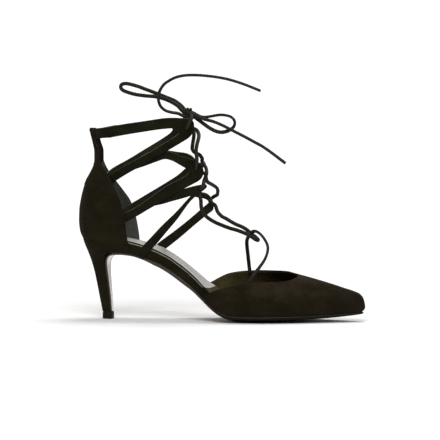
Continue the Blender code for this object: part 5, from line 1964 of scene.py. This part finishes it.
@dataclass
class Lace:
    """Waxed lace: loop in the throat, crossings through the strap holes, and the bow."""

    palette: Palette
    braid: Braid = field(default_factory=Braid)
    over: float = 2.1          # cord centre from a strap's middle surface
    knot: Point = (94.9, -5.0, 177.1)
    knot_axis: Point = (0.99, 0.0, -0.14)
    wrap_high: float = 4.2
    wrap_deep: float = 3.3
    wrap_turns: float = 1.95
    wrap_cord: float = 2.5      # the lace drawn tight and round

    def on_strap(self, x: float, z: float, side: Side, level: float) -> Point:
        """Point on a strap.

        Args:
            x: Place along the shoe.
            z: Height.
            side: Which side.
            level: 1 outside the strap, 0 in a hole, -1 inside it.
        Returns:
            The point.
        """
        way = ankle_normal(x, z, side.value)
        p = np.array((x, side.value * float(ankle(x, z)), z)) + way * level * self.over
        return (float(p[0]), float(p[1]), float(p[2]))

    def crossing_route(self) -> list[Point]:
        """The laced part in one run, from the top lateral hole to the top medial hole.

        Returns:
            The points.
        """
        on, lat, med = self.on_strap, Side.LATERAL, Side.MEDIAL
        return [
            on(96.3, 164.2, lat, 0.3), on(96.5, 164.1, lat, -0.7), on(98.2, 163.5, lat, -1.3), *LACE_HIGH_B,
            (104.9, 15.6, 135.4), on(103.8, 133.6, med, 0.7), on(101.6, 131.8, med, 1.1),
            on(99.4, 130.2, med, 0.9), on(98.6, 129.6, med, 0.0), on(98.8, 129.8, med, -0.9),
            (100.4, 16.4, 131.2), *LACE_MID_A, (111.7, -19.4, 117.4), on(110.8, 115.4, lat, 1.1),
            on(109.4, 113.8, lat, 0.9), on(108.6, 112.8, lat, 0.0), on(108.6, 112.0, lat, -0.9),
            on(109.0, 109.4, lat, -1.2), *LACE_LOW[::-1],
            on(112.4, 100.4, med, -1.1), on(110.2, 102.5, med, -0.6), on(109.9, 102.9, med, 0.2),
            on(110.1, 103.7, med, 1.0), on(112.6, 105.4, med, 1.1), (117.0, 17.8, 107.2), *LACE_MID_B[::-1],
            on(108.6, 127.4, lat, -1.2), on(105.6, 128.5, lat, -0.9), on(104.6, 128.8, lat, 0.0),
            on(104.5, 130.0, lat, 0.9), on(104.6, 133.5, lat, 1.05), on(104.8, 138.0, lat, 1.05),
            *LACE_HIGH_A[::-1], on(91.0, 165.2, med, -1.2), on(88.8, 164.7, med, -0.7),
            on(88.4, 164.6, med, 0.3),
        ]

    def tie_route(self) -> list[Point]:
        """Lace from the lateral hole, through the knot, to the medial hole."""
        on, lat, med = self.on_strap, Side.LATERAL, Side.MEDIAL
        return [on(96.3, 164.2, lat, 0.5), on(96.7, 164.7, lat, 1.0), *BOW_KNOT,
                on(89.8, 171.0, med, 1.2), on(88.7, 167.0, med, 1.05), on(88.4, 165.0, med, 0.8)]

    def wrap_route(self) -> Array:
        """Turns of cord round the middle of the bow.

        Returns:
            The points.
        """
        axis = unit(np.array(self.knot_axis))
        first = unit(np.cross(axis, np.array((0.0, 1.0, 0.0))))
        second = np.cross(axis, first)
        t = np.linspace(0.0, self.wrap_turns, 40)
        along = (t - self.wrap_turns / 2) * (self.wrap_cord + 0.12)
        turn = 2 * math.pi * t + 0.6
        high, deep = np.outer(np.cos(turn), first), np.outer(np.sin(turn), second)
        return np.array(self.knot) + np.outer(along, axis) + high * self.wrap_high + deep * self.wrap_deep

    def free(self, name: str, route: list[Point] | tuple[Point, ...], far_end: str, node: str,
             pieces: list[Object] | None = None, turned: Turns = ((0.0, 0.0),)) -> Object:
        """Args:
            name: Piece name.
            route: Points to pass through.
            far_end: What its far end is; not used.
            node: CAD node that it stands for.
            pieces: Pieces that go with it; not used.
            turned: How far it is turned on edge, at shares of its length.
        Returns:
            The cord.
        """
        piece, path = self.braid.build(name, np.array(route), self.palette.cord, turned)
        keep(piece, "cord", node)
        LOG.info("%s: %.0f mm of cord", name, path_length(path))
        return piece

    def build(self) -> None:
        """Make and dress the lace."""
        finish = self.palette.cord
        loop, _ = self.braid.build("throat_loop", np.array(VAMP_LOOP), finish,
                                   ((0.40, 0.0), (0.56, 85.0), (0.76, 75.0), (0.95, 10.0)))
        keep(loop, "cord", "vamp_loop")
        run, path = self.braid.build("lace_crossings", np.array(self.crossing_route()), finish)
        keep(run, "cord", "lace_low", "lace_mid", "lace_high_lateral", "lace_high_medial")
        LOG.info("laced part: %.0f mm of cord", path_length(path))
        wrap, _ = Braid(self.wrap_cord, self.wrap_cord).build("bow_wrap", self.wrap_route(), finish)
        keep(wrap, "cord")
        self.free("bow_tie", self.tie_route(), "object", "bow_knot", [wrap])
        self.free("bow_back", BOW_BACK, "knot", "bow_loop_back")
        self.free("bow_front", BOW_FRONT, "knot", "bow_loop_front",
                  turned=((0.0, 80.0), (0.46, 80.0), (0.62, 0.0)))
        self.free("end_upper", END_UPPER, "bare", "lace_end_upper", turned=((0.0, 40.0), (0.2, 75.0)))
        self.free("end_lower", END_LOWER, "bare", "lace_end_lower", turned=((0.0, 20.0), (0.3, 55.0)))


@dataclass
class Studio:
    """Pale floor, soft light and the camera."""

    camera_at: Point = (0.3461, -1.9679, 0.1558)
    target: Point = (-0.0010, 0.0005, 0.0860)
    lens: float = 190.7

    def floor(self) -> None:
        """Plain pale floor."""
        mesh = bpy.data.meshes.new("floor")
        mesh.from_pydata([(-8, -8, 0), (8, -8, 0), (8, 8, 0), (-8, 8, 0)], [], [(0, 1, 2, 3)])
        g = Graph("floor_paint")
        far = ((g.axis(0) ** 2.0 + g.axis(1) ** 2.0) ** 0.5).spread(170.0, 430.0)
        seen = Value(g, g.node("ShaderNodeLightPath").outputs["Is Camera Ray"])
        glow = g.node("ShaderNodeEmission", None, {"Color": (1.0, 1.0, 1.0), "Strength": 1.1})
        both = g.node("ShaderNodeMixShader", None,
                      {0: far * seen, 1: g.shader.outputs[0], 2: glow.outputs[0]})
        g.feed(g.tree.nodes["Material Output"].inputs["Surface"], both.outputs[0])
        mesh.materials.append(g.done(Base_Color=(0.86, 0.856, 0.848), Roughness=0.9, Specular_IOR_Level=0.1))
        linked("floor", mesh)

    def aimed(self, name: str, data: bpy.types.ID, at: Point, aim: Point) -> Object:
        """Lamp or camera that looks at a point.

        Args:
            name: Its name.
            data: Lamp or camera.
            at: Where it stands, metres.
            aim: Where it looks.
        Returns:
            The object.
        """
        made = linked(name, data)
        made.location = at
        made.rotation_euler = (Vector(aim) - Vector(at)).to_track_quat("-Z", "Y").to_euler()
        return made

    def lamp(self, name: str, at: Point, aim: Point, size: float, power: float) -> None:
        """One soft box.

        Args:
            name: Name of the lamp.
            at: Where it stands, metres.
            aim: Where it points.
            size: Diameter of its disk.
            power: Watts.
        """
        light = bpy.data.lights.new(name, "AREA")
        light.shape = "DISK"
        light.size = size
        light.energy = power
        self.aimed(name, light, at, aim)

    def build(self) -> None:
        """Set the stage."""
        self.floor()
        g = Graph("studio", world=True)
        way = g.node("ShaderNodeSeparateXYZ", None, {0: g.node("ShaderNodeTexCoord").outputs["Generated"]})
        seen = Value(g, g.node("ShaderNodeLightPath").outputs["Is Camera Ray"])
        sky = (Value(g, way.outputs[1]) * 0.22 + Value(g, way.outputs[2]) * 0.32 + 0.18).larger(0.06)
        bpy.context.scene.world = g.done(Color=(1.0, 1.0, 1.0), Strength=sky * (1.0 - seen) + seen * 1.1)
        bpy.context.scene.view_settings.view_transform = "Standard"
        self.lamp("back", (0.1, 0.35, 1.45), (0.0, 0.0, 0.0), 0.7, 11.5)
        self.lamp("front", (0.1, -1.1, 0.95), (0.0, 0.0, 0.05), 0.7, 14.5)
        data = bpy.data.cameras.new("camera")
        data.lens = self.lens
        data.sensor_width = 36.0
        data.clip_start = 0.01
        bpy.context.scene.camera = self.aimed("camera", data, self.camera_at, self.target)


def main() -> None:
    """Build the shoe, its lace and the stage, and note the sizes."""
    logging.basicConfig(level=logging.INFO, format="%(name)s: %(message)s")
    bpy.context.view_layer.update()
    palette = Palette()
    counter, vamp = Counter(palette), Vamp(palette)
    for part in (Sole(palette), HeelBlock(palette), counter, vamp, Insole(palette, counter, vamp),
                 StrapCage(palette), Lace(palette), Studio()):
        part.build()
        LOG.info("%s is done", type(part).__name__)


if __name__ == "__main__":
    main()
